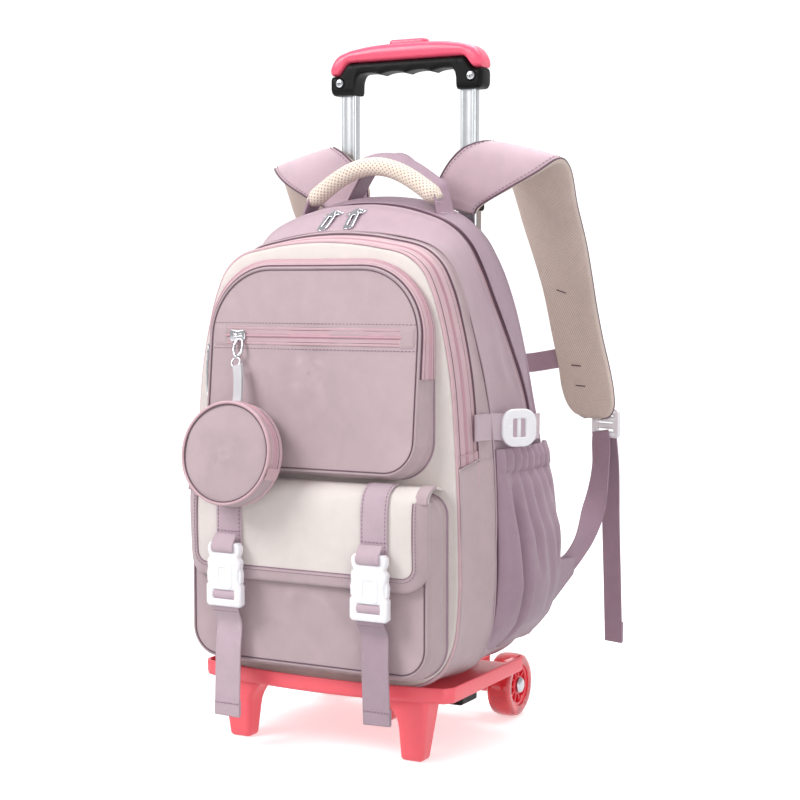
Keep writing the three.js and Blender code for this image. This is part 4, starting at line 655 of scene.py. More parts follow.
# %% The bag's arch and its outlines
ARCH = np.array([
    # front across, front rise, back across, back rise, as shares of the half width and height
    (0.00, 0.000, 0.00, 0.000), (0.36, 0.001, 0.36, 0.001), (0.67, 0.010, 0.67, 0.012),
    (0.86, 0.045, 0.87, 0.050), (0.96, 0.105, 0.96, 0.115), (1.00, 0.210, 1.00, 0.210),
    (1.00, 0.330, 1.00, 0.330), (0.990, 0.450, 0.990, 0.450), (0.970, 0.580, 0.970, 0.565),
    (0.940, 0.700, 0.945, 0.670), (0.880, 0.810, 0.90, 0.770), (0.815, 0.886, 0.83, 0.850),
    (0.740, 0.937, 0.73, 0.912), (0.620, 0.970, 0.62, 0.948), (0.400, 0.988, 0.43, 0.978),
    (0.200, 0.997, 0.22, 0.995), (0.00, 1.000, 0.00, 1.000),
])
OUTLINES = {
    # depth at the top, lean low down, width, height, roundness, taper at the top, lift of the floor
    "front": (0.000, 0.000, 0.939, 0.897, 0.0, 0.00, 0.000),
    "zip back": (0.192, 0.020, 0.975, 0.913, 0.1, 0.00, 0.000),
    "seam": (0.240, 0.093, 1.000, 0.917, 0.2, 0.00, 0.002),
    "main zip front": (0.470, 0.397, 1.000, 0.973, 0.8, 0.00, 0.010),
    "main zip back": (0.550, 0.377, 1.000, 0.978, 0.9, 0.02, 0.014),
    "crest": (0.780, 0.187, 1.010, 1.000, 1.0, 0.16, 0.022),
    "back": (1.000, 0.000, 1.010, 0.984, 1.0, 0.34, 0.050),
}
SAMPLES = 960


# %% One outline as a curve
def outline_curve(depth, lean, wide, high, rounded, taper, lift):
    """One outline as a dense closed polyline, from the middle of the floor round by +X"""
    floor = BAG_BOTTOM + lift * (BAG_TOP - BAG_BOTTOM)
    crest = BAG_BOTTOM + high * (BAG_TOP - BAG_BOTTOM)
    across = ARCH[:, 0] + (ARCH[:, 2] - ARCH[:, 0]) * rounded
    rise = ARCH[:, 1] + (ARCH[:, 3] - ARCH[:, 1]) * rounded
    fall = np.clip((0.86 - rise) / (0.86 - 0.5), 0, 1)
    back = depth + lean * fall * fall * (3 - 2 * fall)
    side = np.stack([
        wide * BAG_HALF * (1 - taper * np.maximum(0, rise - 0.45)) * across,
        BAG_FRONT + (BAG_BACK - BAG_FRONT) * back,
        floor + (crest - floor) * rise,
    ], 1)
    knots = np.vstack([side, side[-2:0:-1] * (-1, 1, 1)])
    count = len(knots)
    u = np.arange(SAMPLES) / SAMPLES * count
    curve = np.zeros((SAMPLES, 3))
    for k in range(count):
        inside = (u >= k) & (u < k + 1)
        four = [knots[(k + shift) % count] for shift in (-1, 0, 1, 2)]
        curve[inside] = catmull(*four, u[inside] - k)
    return curve


CURVES = np.array([outline_curve(*row) for row in OUTLINES.values()])


# %% The skin between the outlines
def skin(u, s):
    """Points of the bag's skin, u round the arch from 0 to 1 and s from 0 at the front to 6"""
    u, s = np.broadcast_arrays(np.asarray(u, float) % 1, np.asarray(s, float))
    spot = u * SAMPLES
    low = np.floor(spot).astype(int) % SAMPLES
    part = (spot - np.floor(spot))[..., None]

    def at(ring):
        return CURVES[ring, low] * (1 - part) + CURVES[ring, (low + 1) % SAMPLES] * part

    ring = np.clip(np.floor(s).astype(int), 0, 5)
    share = (s - ring)[..., None]
    straight = at(ring) * (1 - share) + at(ring + 1) * share
    t = np.clip(s - 4, 0, 2)[..., None]
    over = (t - 1) * (t - 2) / 2 * at(4) - t * (t - 2) * at(5) + t * (t - 1) / 2 * at(6)
    return np.where((s > 4)[..., None], over, straight)


def outward(u, s):
    """The skin's outward direction"""
    small = 0.002
    round_ = skin(u + small, s) - skin(u - small, s)
    s = np.asarray(s, float)
    back = skin(u, np.minimum(s + 0.02, 6)) - skin(u, np.maximum(s - 0.02, 0))
    return unit(np.cross(round_, back))


def u_at(s, height):
    """Where the right side of an outline reaches a height"""
    us = np.linspace(0.1, 0.5, 4000)
    return float(np.interp(height, skin(us, s)[:, 2], us))


SECOND_END = u_at(0.5, 265)  # the zips stop at these heights, in millimetres
MAIN_END = u_at(3.5, 292)
print("skin reaches", skin(0.5, 5.0).round(1), "zips end at", round(SECOND_END, 3), round(MAIN_END, 3))


# %% [markdown]
# Cloth is never smooth. Soft swells fill each band between its seams, slow noise makes it uneven,
# and a few long creases run where the photograph shows them, such as from the shoulder strap's
# root down the side. A crease is a valley along a line, with a low ridge on each side.

# %% Swells and creases
def uneven(points, size, seed):
    """Slow noise from -1 to 1 at each point; size is the length of one wave in millimetres"""
    shape = points.shape[:-1]
    flat = points.reshape(-1, 3) / size + seed
    values = [noise.noise(Vector(p)) for p in flat]
    return np.array(values).reshape(shape)


def crease(points, start, end, wide, deep):
    """Depth of a crease along the line from start to end"""
    start, end = np.array(start, float), np.array(end, float)
    line = end - start
    t = np.clip(((points - start) @ line) / (line @ line), 0, 1)
    away = np.linalg.norm(points - (start + t[..., None] * line), axis=-1) / wide
    fade = np.sin(np.clip(t, 0.02, 0.98) * math.pi) ** 0.5
    return -deep * fade * (1 - 0.9 * away ** 2) * np.exp(-away ** 2)


SIDE_CREASES = [
    # start, end, width, depth, all in millimetres on the bag's right side
    ((112, -8, 486), (138, -40, 400), 9, 2.4),
    ((100, -20, 494), (132, -52, 420), 8, 1.6),
    ((122, -12, 452), (146, -20, 350), 11, 1.8),
    ((134, -78, 410), (147, -62, 330), 12, 1.8),
    ((140, -84, 372), (148, -40, 318), 9, 1.4),
    ((143, -100, 330), (148, -96, 200), 12, 1.3),
    ((96, -104, 455), (128, -106, 400), 10, 1.2),
]


def draped(u, s, swell, seed, wave=2.0):
    """Skin points pushed out by a swell, slow noise and the creases of both sides"""
    points = skin(u, s)
    mirrored = np.abs(points * (1, 0, 0)) + points * (0, 1, 1)
    push = swell + wave * 0.5 * uneven(points, 70, seed) + 0.35 * uneven(points, 22, seed + 9)
    for start, end, wide, deep in SIDE_CREASES:
        push = push + crease(mirrored, start, end, wide, deep)
    return points + outward(u, s) * push[..., None]


# %% [markdown]
# The front band and the body are long strips of nylon that go once round the arch. The front one
# is sewn from two strips: a dark seam runs between them, along the third outline.

# %% Bands of the bag
AROUND = np.linspace(0, 1, 480, endpoint=False)


def band_piece(name, us, fronts, backs, steps, material, seed, swell=1.6, wave=2.0, replaces=None):
    """A strip of cloth on the skin, from s = fronts to s = backs at each u"""
    fronts, backs = np.broadcast_to(fronts, us.shape), np.broadcast_to(backs, us.shape)
    shares = np.linspace(0, 1, steps)
    s = fronts[:, None] + (backs - fronts)[:, None] * shares[None]
    u = np.broadcast_to(us[:, None], s.shape)
    tuck = np.minimum(1, np.minimum(shares, 1 - shares) * 14)
    lift = swell * np.sin(np.pi * shares) ** 0.6 * tuck - 1.0 * (1 - tuck)
    grid = draped(u, s, lift[None], seed, wave)
    piece = grid_piece(name, grid, material, loop_rows=True, slot="bag_cloth")
    thicken(piece, 1.2)
    if replaces:
        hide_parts(*replaces)
    return piece


def zipped(us, end):
    """Where a zip that ends at u = end takes the place of the cloth"""
    return (us >= end) & (us <= 1 - end)


fronts = np.where(zipped(AROUND, SECOND_END), 1.0, 0.0)
band_one = band_piece("front_gusset", AROUND, fronts, 2.0, 16, "mauve", 3.1, 1.2)
band_two = band_piece("middle_gusset", AROUND, 2.0, 3.0, 22, "gusset", 7.7, 1.8, replaces=["front_band"])
fronts = np.where(zipped(AROUND, MAIN_END), 4.0, 3.0)
body_band = band_piece("body_gusset", AROUND, fronts, 6.0, 40, "side", 12.3, 1.5, replaces=["main_body"])
print(
    "bands", len(band_one.data.polygons) + len(band_two.data.polygons) + len(body_band.data.polygons),
    "faces")

# %% [markdown]
# Between the bands run the zips. A zip is a ridged strip: tape, a stitched ridge, the coil in the
# middle, and the same again. Below its end the strip goes on as plain cloth, and a small folded
# tab covers the place where the coil stops.

# %% Zips and seams that follow the skin
ZIP_PROFILE = [
    # share of the width, lift in millimetres, slot: 0 tape, 1 coil, 2 dark seam
    (0.00, -0.6, 2), (0.03, 0.9, 0), (0.10, 1.3, 0), (0.17, 0.7, 2), (0.20, 0.5, 0), (0.29, 1.1, 0),
    (0.36, 0.6, 0), (0.43, 0.5, 1), (0.45, 1.7, 1), (0.50, 2.1, 1), (0.55, 1.7, 1), (0.57, 0.5, 0),
    (0.64, 0.6, 0), (0.71, 1.1, 0), (0.80, 0.5, 2), (0.83, 0.7, 0), (0.90, 1.3, 0), (0.97, 0.9, 2),
    (1.00, -0.6, 0),
]
MAIN_PROFILE = [
    (0.00, -0.6, 2), (0.04, 1.6, 0), (0.14, 2.4, 0), (0.26, 2.2, 0), (0.34, 1.0, 2), (0.40, 0.9, 1),
    (0.50, 1.7, 1), (0.60, 0.9, 2), (0.66, 1.0, 0), (0.74, 2.2, 0), (0.86, 2.5, 0), (0.96, 1.6, 2),
    (1.00, -0.6, 0),
]


ZIP_CLOTHS = ["tape", "coil", "dark"]  # the materials of slots 0, 1 and 2


def zip_piece(name, grid, profile=ZIP_PROFILE):
    """A zip from a grid with a column for each row of its profile"""
    return grid_piece(name, grid, ZIP_CLOTHS, slots=[row[2] for row in profile], slot="zip_tape")


def skin_zip(name, us, s_front, s_back, profile):
    """A zip on the skin; profile rows are (share, lift, slot)"""
    shares = np.array([row[0] for row in profile])
    lifts = np.array([row[1] for row in profile])
    s = s_front + (s_back - s_front) * shares[None]
    u = np.broadcast_to(us[:, None], (len(us), len(shares)))
    s = np.broadcast_to(s, u.shape)
    grid = skin(u, s) + outward(u, s) * lifts[None, :, None]
    return zip_piece(name, grid, profile)


def open_us(end, count=420):
    """Steps round the arch between a zip's two ends"""
    return np.linspace(end, 1 - end, count)


second_zip = skin_zip("second_zip_tape", open_us(SECOND_END), 0.0, 1.0, ZIP_PROFILE)
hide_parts("second_zip")
main_zip = skin_zip("main_zip_tape", open_us(MAIN_END), 3.0, 4.0, MAIN_PROFILE)
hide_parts("main_zip")


# %% Piping and seams
def skin_path(us, s, lift=0.0):
    """A line on the skin, lifted off it in millimetres"""
    s = np.broadcast_to(np.asarray(s, float), np.shape(us))
    return skin(us, s) + outward(us, s) * lift


def piping(name, path, size, material):
    """A closed round cord of cloth"""
    return sweep(name, path, oval(size, size, 8), (0.0, 1.0, 0.02), material, closed=True)


ROUND = np.linspace(0, 1, 360, endpoint=False)
piping("front_seam_piping", skin_path(ROUND, 0.0, 0.3), 1.5, "piping")
piping("gusset_seam", skin_path(ROUND, 2.0, -0.1), 0.9, "dark")
piping("body_seam", skin_path(ROUND, 3.0, 0.0), 0.8, "dark")
piping("back_seam_piping", skin_path(ROUND, 6.0, 0.2), 2.2, "side")
for label, s, row in (("front", 1.0, 0.6), ("rear", 2.0, -0.9), ("mid", 2.0, 0.8)):
    edge = s + row * 0.06
    us = np.linspace(0.12, 0.88, 400)
    stitches(f"gusset_stitches_{label}", skin_path(us, edge, 0.7), outward(us, edge), "thread", 4.2)
print("zips", len(second_zip.data.polygons), len(main_zip.data.polygons))


# %% [markdown]
# Both zips end in a folded tab: a piece of the gusset's cloth turned under and sewn across, so that
# the slider can't run off.

# %% Tabs at the zips' ends
def skin_patch(name, us, s_front, s_back, lift, material, steps=(12, 12), **more):
    """A small raised patch on the skin, with its edges turned down"""
    rows, columns = steps
    a = np.linspace(0, 1, rows)[:, None]
    b = np.linspace(0, 1, columns)[None]
    u = us[0] + (us[1] - us[0]) * a + 0 * b
    s = s_front + (s_back - s_front) * b + 0 * a
    soft = np.minimum(1, np.minimum(np.minimum(a, 1 - a), np.minimum(b, 1 - b)) * 9) ** 0.6
    grid = skin(u, s) + outward(u, s) * (lift * soft - 0.3)[..., None]
    return grid_piece(name, grid, material, **more)


for side, name in SIDES:
    for end, front, back, label in ((SECOND_END, 0.0, 1.0, "second"), (MAIN_END, 3.0, 4.0, "main")):
        us = (end - 0.012, end + 0.006) if side == 1 else (1 - end - 0.006, 1 - end + 0.012)
        skin_patch(f"{label}_zip_tab_{name}", us, front, back, 2.6, "piping")

# %% [markdown]
# The front panel is one flat arch of cream cloth, a little fuller in the middle. Its stitches run
# just inside the piping.

# %% Front panel
FRONT_CENTRE = np.array([0, 262.0])


def front_panel_grid():
    """Rings of the front outline that shrink to its middle"""
    edge = skin(ROUND, 0.0)[:, [0, 2]]
    shares = np.concatenate([[1.0, 0.985], np.linspace(0.96, 0.02, 36)])
    flat = FRONT_CENTRE + (edge[:, None] - FRONT_CENTRE) * shares[None, :, None] * 0.992
    dome = 1.8 * (1 - shares ** 4)[None] + np.zeros(flat.shape[:2])
    y = FACE + 1.2 - dome
    grid = np.stack([flat[..., 0], y, flat[..., 1]], -1)
    grid[..., 1] -= 0.8 * uneven(grid, 60, 4.4)
    return grid


panel = grid_piece("front_panel_cloth", front_panel_grid(), "cream", loop_rows=True, slot="cream_cloth")
thicken(panel, 1.2, 1.0)
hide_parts("front_panel")
inner = front_panel_grid()[:, 3]
stitches("front_panel_stitches", inner, (0, -1, 0), "thread_light", 4.0, closed=True)

# %% [markdown]
# A patch pocket is a face on a gusset. Its outline is a rounded shape on the front panel; the
# gusset stands up from it, the face closes it, and a piped seam joins the two, with a thin dark
# cord of painted shadow just inside it. Low down the pocket is deep, and at the top it is shallow.

# %% Patch pockets
def pocket_outline(half, low, high, top_corner, low_corner, count=300):
    """Closed outline (x, z), anticlockwise from the middle of its foot"""
    points = []
    for sx, sz, (rx, rz) in (
            (1, 1, top_corner), (-1, 1, top_corner), (-1, -1, low_corner), (1, -1, low_corner)):
        cx, cz = sx * (half - rx), (high - rz) if sz == 1 else (low + rz)
        start = {(1, 1): 0, (-1, 1): 90, (-1, -1): 180, (1, -1): 270}[(sx, sz)]
        angles = np.radians(np.linspace(start, start + 90, 24))
        points += [(cx + rx * math.cos(a), cz + rz * math.sin(a)) for a in angles]
    points = np.array(points)
    return from_foot(points, count)


def from_foot(points, count):
    """Equal steps round a closed outline, from the middle of its foot"""
    foot = np.array([[0.0, points[:, 1].min()]])
    after = [k for k in range(len(points)) if points[k, 1] < points[:, 1].mean() and points[k, 0] > 0]
    start = after[0]
    return even_steps(np.vstack([foot, np.roll(points, -start, 0)]), count, closed=True)


def outline_normals(outline):
    """Outward directions of a closed flat outline"""
    steps = np.roll(outline, -1, 0) - np.roll(outline, 1, 0)
    return unit(np.stack([steps[:, 1], -steps[:, 0]], 1))


# %% One patch pocket
FLARE, BELLOWS = 6, 2.0  # how far a gusset spreads at its foot, and bulges between face and foot


def make_pocket(name, outline, depth_at, dome_at, seed, bellows=BELLOWS):
    """A patch pocket's gusset and face in mauve cloth, its seams, and a dark cord of painted shadow inside its
    seam
    """
    normals = outline_normals(outline)
    shares = np.linspace(0, 1, 15)
    gusset = []
    for t in shares:
        fold = 0.8 * math.sin(t * math.pi * 5) * math.sin(math.pi * t)
        out = FLARE * (1 - t) + bellows * math.sin(math.pi * t) + fold
        spot = outline + normals * out
        depth = depth_at(outline[:, 1])
        gusset.append(np.stack([spot[:, 0], FACE - CLEAR - depth * t, spot[:, 1]], 1))
    grid = np.stack(gusset, 1)
    wobble = uneven(grid, 26, seed) * np.sin(np.pi * shares)[None] * 1.1
    grid[..., 0] += normals[:, None, 0] * wobble
    grid[..., 2] += normals[:, None, 1] * wobble
    sides = grid_piece(f"{name}_gusset", grid, "mauve", loop_rows=True, slot="bag_cloth")
    thicken(sides, 1.0)
    centre = outline.mean(0)
    shares = np.concatenate([[1.0, 0.99, 0.975], np.linspace(0.95, 0.0, 32)])
    flat = centre + (outline[:, None] - centre) * shares[None, :, None]
    dome = dome_at(flat[..., 0], flat[..., 1]) * (1 - shares ** 6)[None]
    y = FACE - CLEAR - depth_at(flat[..., 1]) - dome
    grid = np.stack([flat[..., 0], y, flat[..., 1]], -1)
    grid[..., 1] -= 0.9 * uneven(grid, 45, seed + 3) * (1 - shares ** 8)[None]
    face = grid_piece(f"{name}_face", grid, "mauve", loop_rows=True)
    thicken(face, 1.0, 1.0)
    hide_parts(name)
    rim = np.stack([outline[:, 0], FACE - CLEAR - depth_at(outline[:, 1]), outline[:, 1]], 1)
    sweep(f"{name}_seam", rim, oval(1.5, 1.3, 8), (0, 1, 0.02), "mauve", closed=True)
    # a dark cord just inside the seam: painted shadow
    beside = outline - normals * 1.7
    line = np.stack([beside[:, 0], FACE - CLEAR - depth_at(beside[:, 1]) - 1.2, beside[:, 1]], 1)
    sweep(f"{name}_seam_shadow", line, oval(0.75, 0.6, 6), (0, 1, 0.02), "dark", closed=True)
    base = outline + normals * (FLARE + 0.6)
    foot = np.stack([base[:, 0], np.full(len(base), FACE - 0.6), base[:, 1]], 1)
    sweep(f"{name}_foot_seam", foot, oval(1.2, 1.0, 8), (0, 1, 0.02), "side", closed=True)


# %% The upper pocket
UPPER = dict(half=108, low=258, high=438)
FOOT_DEPTH, TOP_DEPTH = 27, 9


def upper_depth(z):
    """Depth of the upper pocket at height z"""
    rise = (np.asarray(z) - UPPER["low"]) / (UPPER["high"] - UPPER["low"])
    return FOOT_DEPTH + (TOP_DEPTH - FOOT_DEPTH) * rise


def upper_dome(x, z):
    """How far the upper pocket's face swells"""
    return 3.0 * np.clip(1 - (x / 106) ** 2, 0, 1) * np.clip(1 - ((z - 345) / 92) ** 2, 0, 1)


def upper_face(x, z):
    """Front of the upper pocket's face at x, z"""
    return FACE - CLEAR - upper_depth(z) - upper_dome(x, z)


UPPER_OUTLINE = pocket_outline(**UPPER, top_corner=(60, 62), low_corner=(30, 30))
make_pocket("upper_pocket", UPPER_OUTLINE, upper_depth, upper_dome, 21.5)
print("upper pocket", len(UPPER_OUTLINE), "points round")

# %% [markdown]
# The upper pocket opens twice: a zip runs along its gusset over the top, down to a tab at each
# side, and a level zip crosses its face between two sewn-on tabs.

# %% Zips of the upper pocket
UPPER_ZIP_END = 342.0


def upper_zip_strip():
    """The zip on the upper pocket's gusset, between its two ends"""
    outline = UPPER_OUTLINE
    start = int(np.argmin(np.abs(outline[:, 1] - UPPER_ZIP_END) + (outline[:, 0] < 0) * 1000))
    last = int(np.argmin(np.abs(outline[:, 1] - UPPER_ZIP_END) + (outline[:, 0] > 0) * 1000))
    picked = even_steps(outline[start:last + 1], 260)
    normals = outline_normals(outline)
    picked_normals = unit(even_steps(np.hstack([outline, normals])[start:last + 1], 260)[:, 2:])
    depth = upper_depth(picked[:, 1])
    columns = []
    for share, lift, _ in ZIP_PROFILE:
        t = 0.06 + 0.88 * share
        out = FLARE * (1 - t) + BELLOWS * math.sin(math.pi * t) + 0.9 + lift
        spot = picked + picked_normals * out
        columns.append(np.stack([spot[:, 0], FACE - CLEAR - depth * t, spot[:, 1]], 1))
    grid = np.stack(columns[::-1], 1)
    return zip_piece("upper_zip_tape", grid)


upper_zip = upper_zip_strip()
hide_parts("upper_zip")


# %% The level zip
LEVEL_Z, LEVEL_HALF = 377.0, 8.5
zs = [LEVEL_Z + LEVEL_HALF * (2 * row[0] - 1) for row in ZIP_PROFILE]
xs = np.linspace(-92, 92, 120)
grid = np.array([[(x, upper_face(x, z) - 0.3 - row[1], z) for z, row in zip(zs, ZIP_PROFILE)] for x in xs])
level_zip = zip_piece("level_zip_tape", grid)
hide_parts("pocket_zip")


def level_tab_point(x, z):
    """A point of the tab at the level zip's end, with its edges turned down"""
    to_edge = min(1, x - 88.9, 104.1 - x, z + 9.6, 9.6 - z)
    return x, upper_face(x, LEVEL_Z + z) - 1.9 * to_edge ** 0.5 - 0.2, LEVEL_Z + z


for side, name in SIDES[::-1]:
    grid = np.array(
        [[level_tab_point(x, z) for z in np.linspace(-9.5, 9.5, 9)] for x in np.linspace(89, 104, 9)])
    grid_piece(f"level_zip_tab_{name}", grid * (side, 1, 1), "mauve")
for z in (LEVEL_Z - 11.5, LEVEL_Z + 11.5):
    xs = np.linspace(-103, 103, 80)
    stitches(
        f"level_zip_stitches_{'low' if z < LEVEL_Z else 'high'}",
        np.array([(x, upper_face(x, z) - 1.0, z) for x in xs]), (0, -1, 0), "thread", 3.6)
print("upper pocket done")

# %% [markdown]
# The lower pocket has bellows sides and no zip: a flap closes it. The flap is sewn to the panel
# above the pocket, comes forward over its top, and hangs down its face, held by two buckles.

# %% Lower pocket and flap
LOWER_DEPTH = 27.0
LOWER_OUTLINE = pocket_outline(121, 82, 234, (12, 12), (26, 26))


def lower_dome(x, z):
    """How far the lower pocket's face swells"""
    return 1.6 * np.clip(1 - (x / 119) ** 2, 0, 1) * np.clip(1 - ((z - 158) / 74) ** 2, 0, 1)


make_pocket("lower_pocket", LOWER_OUTLINE, lambda z: LOWER_DEPTH + 0 * np.asarray(z), lower_dome, 33.1, 3.0)
print("lower pocket", len(LOWER_OUTLINE), "points round")

# %% Shape of the flap
FLAP_HALF, FLAP_TOP, FLAP_LOW, FLAP_CORNER = 123.0, 242.0, 158.0, 22.0
FLAP_TURN, FLAP_BACK = 16, 7  # width of the flap's edge that turns back over the pocket's side, and how far
FLAP_FALL = [
    (0.02, -0.03), (0.45, -0.06), (0.88, -0.045), (1.18, 0.03), (1.29, 0.15), (1.32, 0.4), (1.30, 0.65),
    (1.27, 0.85), (1.26, 0.94), (1.25, 1.0),
]
FLAP_LINE = smooth_path(
    [(0, FACE - CLEAR - deep * LOWER_DEPTH, FLAP_TOP + (FLAP_LOW - FLAP_TOP) * fall)
    for deep, fall in FLAP_FALL], 60)


def flap_low(x):
    """Lower edge of the flap at x, rising in the rounded corners"""
    over_corner = np.clip(np.abs(x) - (FLAP_HALF - FLAP_CORNER), 0, FLAP_CORNER)
    return FLAP_LOW + FLAP_CORNER - np.sqrt(FLAP_CORNER ** 2 - over_corner ** 2)


def flap_wrap(x):
    """How far the flap turns back at x"""
    return np.clip((np.abs(x) - (FLAP_HALF - FLAP_TURN)) / FLAP_TURN, 0, 1) ** 2 * FLAP_BACK


def flap_point(x, t):
    """A point of the flap's outside; t runs from its seam, 0, to its lower edge, 1"""
    line = np.stack([np.interp(t, np.linspace(0, 1, len(FLAP_LINE)), FLAP_LINE[:, k]) for k in (1, 2)], -1)
    drop = np.clip((FLAP_TOP - line[..., 1]) / (FLAP_TOP - FLAP_LOW), None, 1)
    z = np.where(drop > 0, FLAP_TOP - drop * (FLAP_TOP - flap_low(x)), line[..., 1])
    return np.stack([x + 0 * t, line[..., 0] + flap_wrap(x) * np.clip(t * 3, 0, 1), z], -1)


# %% The flap
xs = np.linspace(-FLAP_HALF, FLAP_HALF, 130)
ts = np.linspace(0, 1, 56)
flap_grid = flap_point(xs[:, None] + 0 * ts[None], ts[None] + 0 * xs[:, None])
flap_grid[..., 1] -= 0.9 * uneven(flap_grid, 50, 51.0) * np.sin(np.pi * np.clip(ts, 0, 1))[None]
flap = grid_piece("flap_cloth", flap_grid, "cream", slot="cream_cloth")
thicken(flap, 2.0, 0.0)
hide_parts("flap")


# %% The flap's binding
def flap_surface(x, z):
    """Outside of the flap at x and height z, for z below its top"""
    below = FLAP_LINE[FLAP_LINE[:, 1] < FACE - LOWER_DEPTH * 1.1]
    order = np.argsort(below[:, 2])
    high = FLAP_TOP - (FLAP_TOP - z) * (FLAP_TOP - FLAP_LOW) / (FLAP_TOP - flap_low(x))
    return np.interp(high, below[order, 2], below[order, 1]) + flap_wrap(x)


def flap_edge():
    """The flap's free edge in front view, from the left top round to the right top"""
    corner = [
        (-FLAP_HALF + FLAP_CORNER * (1 - math.cos(a)), FLAP_LOW + FLAP_CORNER * (1 - math.sin(a)))
        for a in np.linspace(0, math.pi / 2, 14)]
    left = [(-FLAP_HALF, z) for z in np.linspace(236, FLAP_LOW + FLAP_CORNER + 1, 14)]
    half = left + corner
    return even_steps(np.array(half + [(-x, z) for x, z in half[::-1]]), 260)


def flap_binding():
    """The bound edge: a rounded tape, its stitches and the line of shade inside it"""
    edge = flap_edge()
    steps = np.gradient(edge, axis=0)
    inwards = unit(np.stack([-steps[:, 1], steps[:, 0]], 1))
    columns = []
    for inset, lift in (
            (-0.6, -3.2), (-1.2, -1.2), (-0.9, 0.9), (0.2, 1.9), (2.5, 2.2), (5.5, 2.1), (8.5, 2.2),
            (10.5, 2.0), (11.2, 0.6)):
        spot = edge + inwards * inset
        clipped = np.clip(spot[:, 0], -FLAP_HALF, FLAP_HALF)
        columns.append(np.stack([spot[:, 0], flap_surface(clipped, spot[:, 1]) - lift, spot[:, 1]], 1))
    piece = grid_piece("flap_binding_tape", np.stack(columns, 1), "mauve", slot="webbing")

    def beside(inset, lift):
        line = edge + inwards * inset
        return np.stack([line[:, 0], flap_surface(line[:, 0], line[:, 1]) - lift, line[:, 1]], 1)

    stitches("flap_binding_stitches", beside(8.6, 2.3), (0, -1, 0), "thread", 3.2)
    sweep("flap_binding_shadow", beside(11.6, 1.3), oval(0.6, 0.45, 6), (0, 1, 0.02), "thread")
    return piece


def out_of_flap(line):
    """The way out of the flap at each point of a line down it"""
    out = np.cross(tangents(line), (1.0, 0, 0))
    return unit(out * np.where(out[:, 1:2] > 0, -1, 1))


def flap_binding_top(side, name):
    """The binding's upper end, from the flap's seam over the fold"""
    ts = np.linspace(0.12, 0.42, 26)
    path = flap_point(np.full(26, side * (FLAP_HALF - 5.2)), ts)
    path = path[path[:, 2] > 233.5]
    sweep(
        f"flap_binding_top_{name}", path + out_of_flap(path) * 0.9, strap_section(11.5, 3.0, 10), (1, 0, 0),
        "mauve")


for side, name in SIDES:
    flap_binding_top(side, name)
binding = flap_binding()
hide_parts("flap_binding")
print("flap box", [round(v, 1) for v in box_mm("flap")[0]], "edge", len(flap_edge()))

# %% [markdown]
# Each side has a pocket of soft cloth: its top is a casing with elastic in it, so it gathers into
# round ruffles, and below the stitched line the cloth hangs in large folds.

# %% Side pockets
SIDE_FRONT, SIDE_REAR, SIDE_LOW, SIDE_HIGH = -92.0, 14.0, 90.0, 276.0
SIDE_SWELL = 26.0
SIDE_ROWS = np.array([
    # rise, swell, ruffle
    (0.00, 0.00, 0.0), (0.06, 0.34, 0.1), (0.14, 0.70, 0.1), (0.32, 1.00, 0.2), (0.58, 0.95, 0.4),
    (0.82, 0.60, 0.8), (0.88, 0.40, 1.0), (0.90, 0.42, 1.3), (0.95, 0.44, 1.6), (1.00, 0.30, 1.1),
])
RUFFLES = 9
CASING_RISE, HEM_RISE = 0.87, 0.885  # where the casing begins, and its stitched line
SIDE_FOLDS = [
    # start (y, z), end (y, z), width, depth
    ((-74, 240), (-60, 92), 5.2, 17.0), ((-75, 262), (-60, 98), 11, 5.0), ((-62, 262), (-46, 160), 6.0, 5.0),
    ((-46, 262), (-20, 120), 9, 3.6), ((-28, 262), (-4, 150), 8, 3.2), ((-88, 250), (-82, 130), 5, 2.6),
    ((-12, 262), (6, 190), 6, 2.4),
]
SIDE_POINTS = skin(np.linspace(0.06, 0.34, 260)[:, None], np.linspace(0, 6, 120)[None])


def side_x(y, z):
    """Half width of the bag at y, z"""
    y, z = np.broadcast_arrays(np.asarray(y, float), np.asarray(z, float))
    heights = SIDE_POINTS[:, :, 2].mean(1)
    row = np.interp(z, heights, np.arange(len(heights)))
    low = np.clip(np.floor(row).astype(int), 0, len(heights) - 2)
    part = np.clip(row - low, 0, 1)
    result = np.zeros(y.shape)
    for index in np.ndindex(y.shape):
        k, t = low[index], part[index]
        line = SIDE_POINTS[k] * (1 - t) + SIDE_POINTS[k + 1] * t
        order = np.argsort(line[:, 1])
        result[index] = np.interp(y[index], line[order, 1], line[order, 0])
    return result


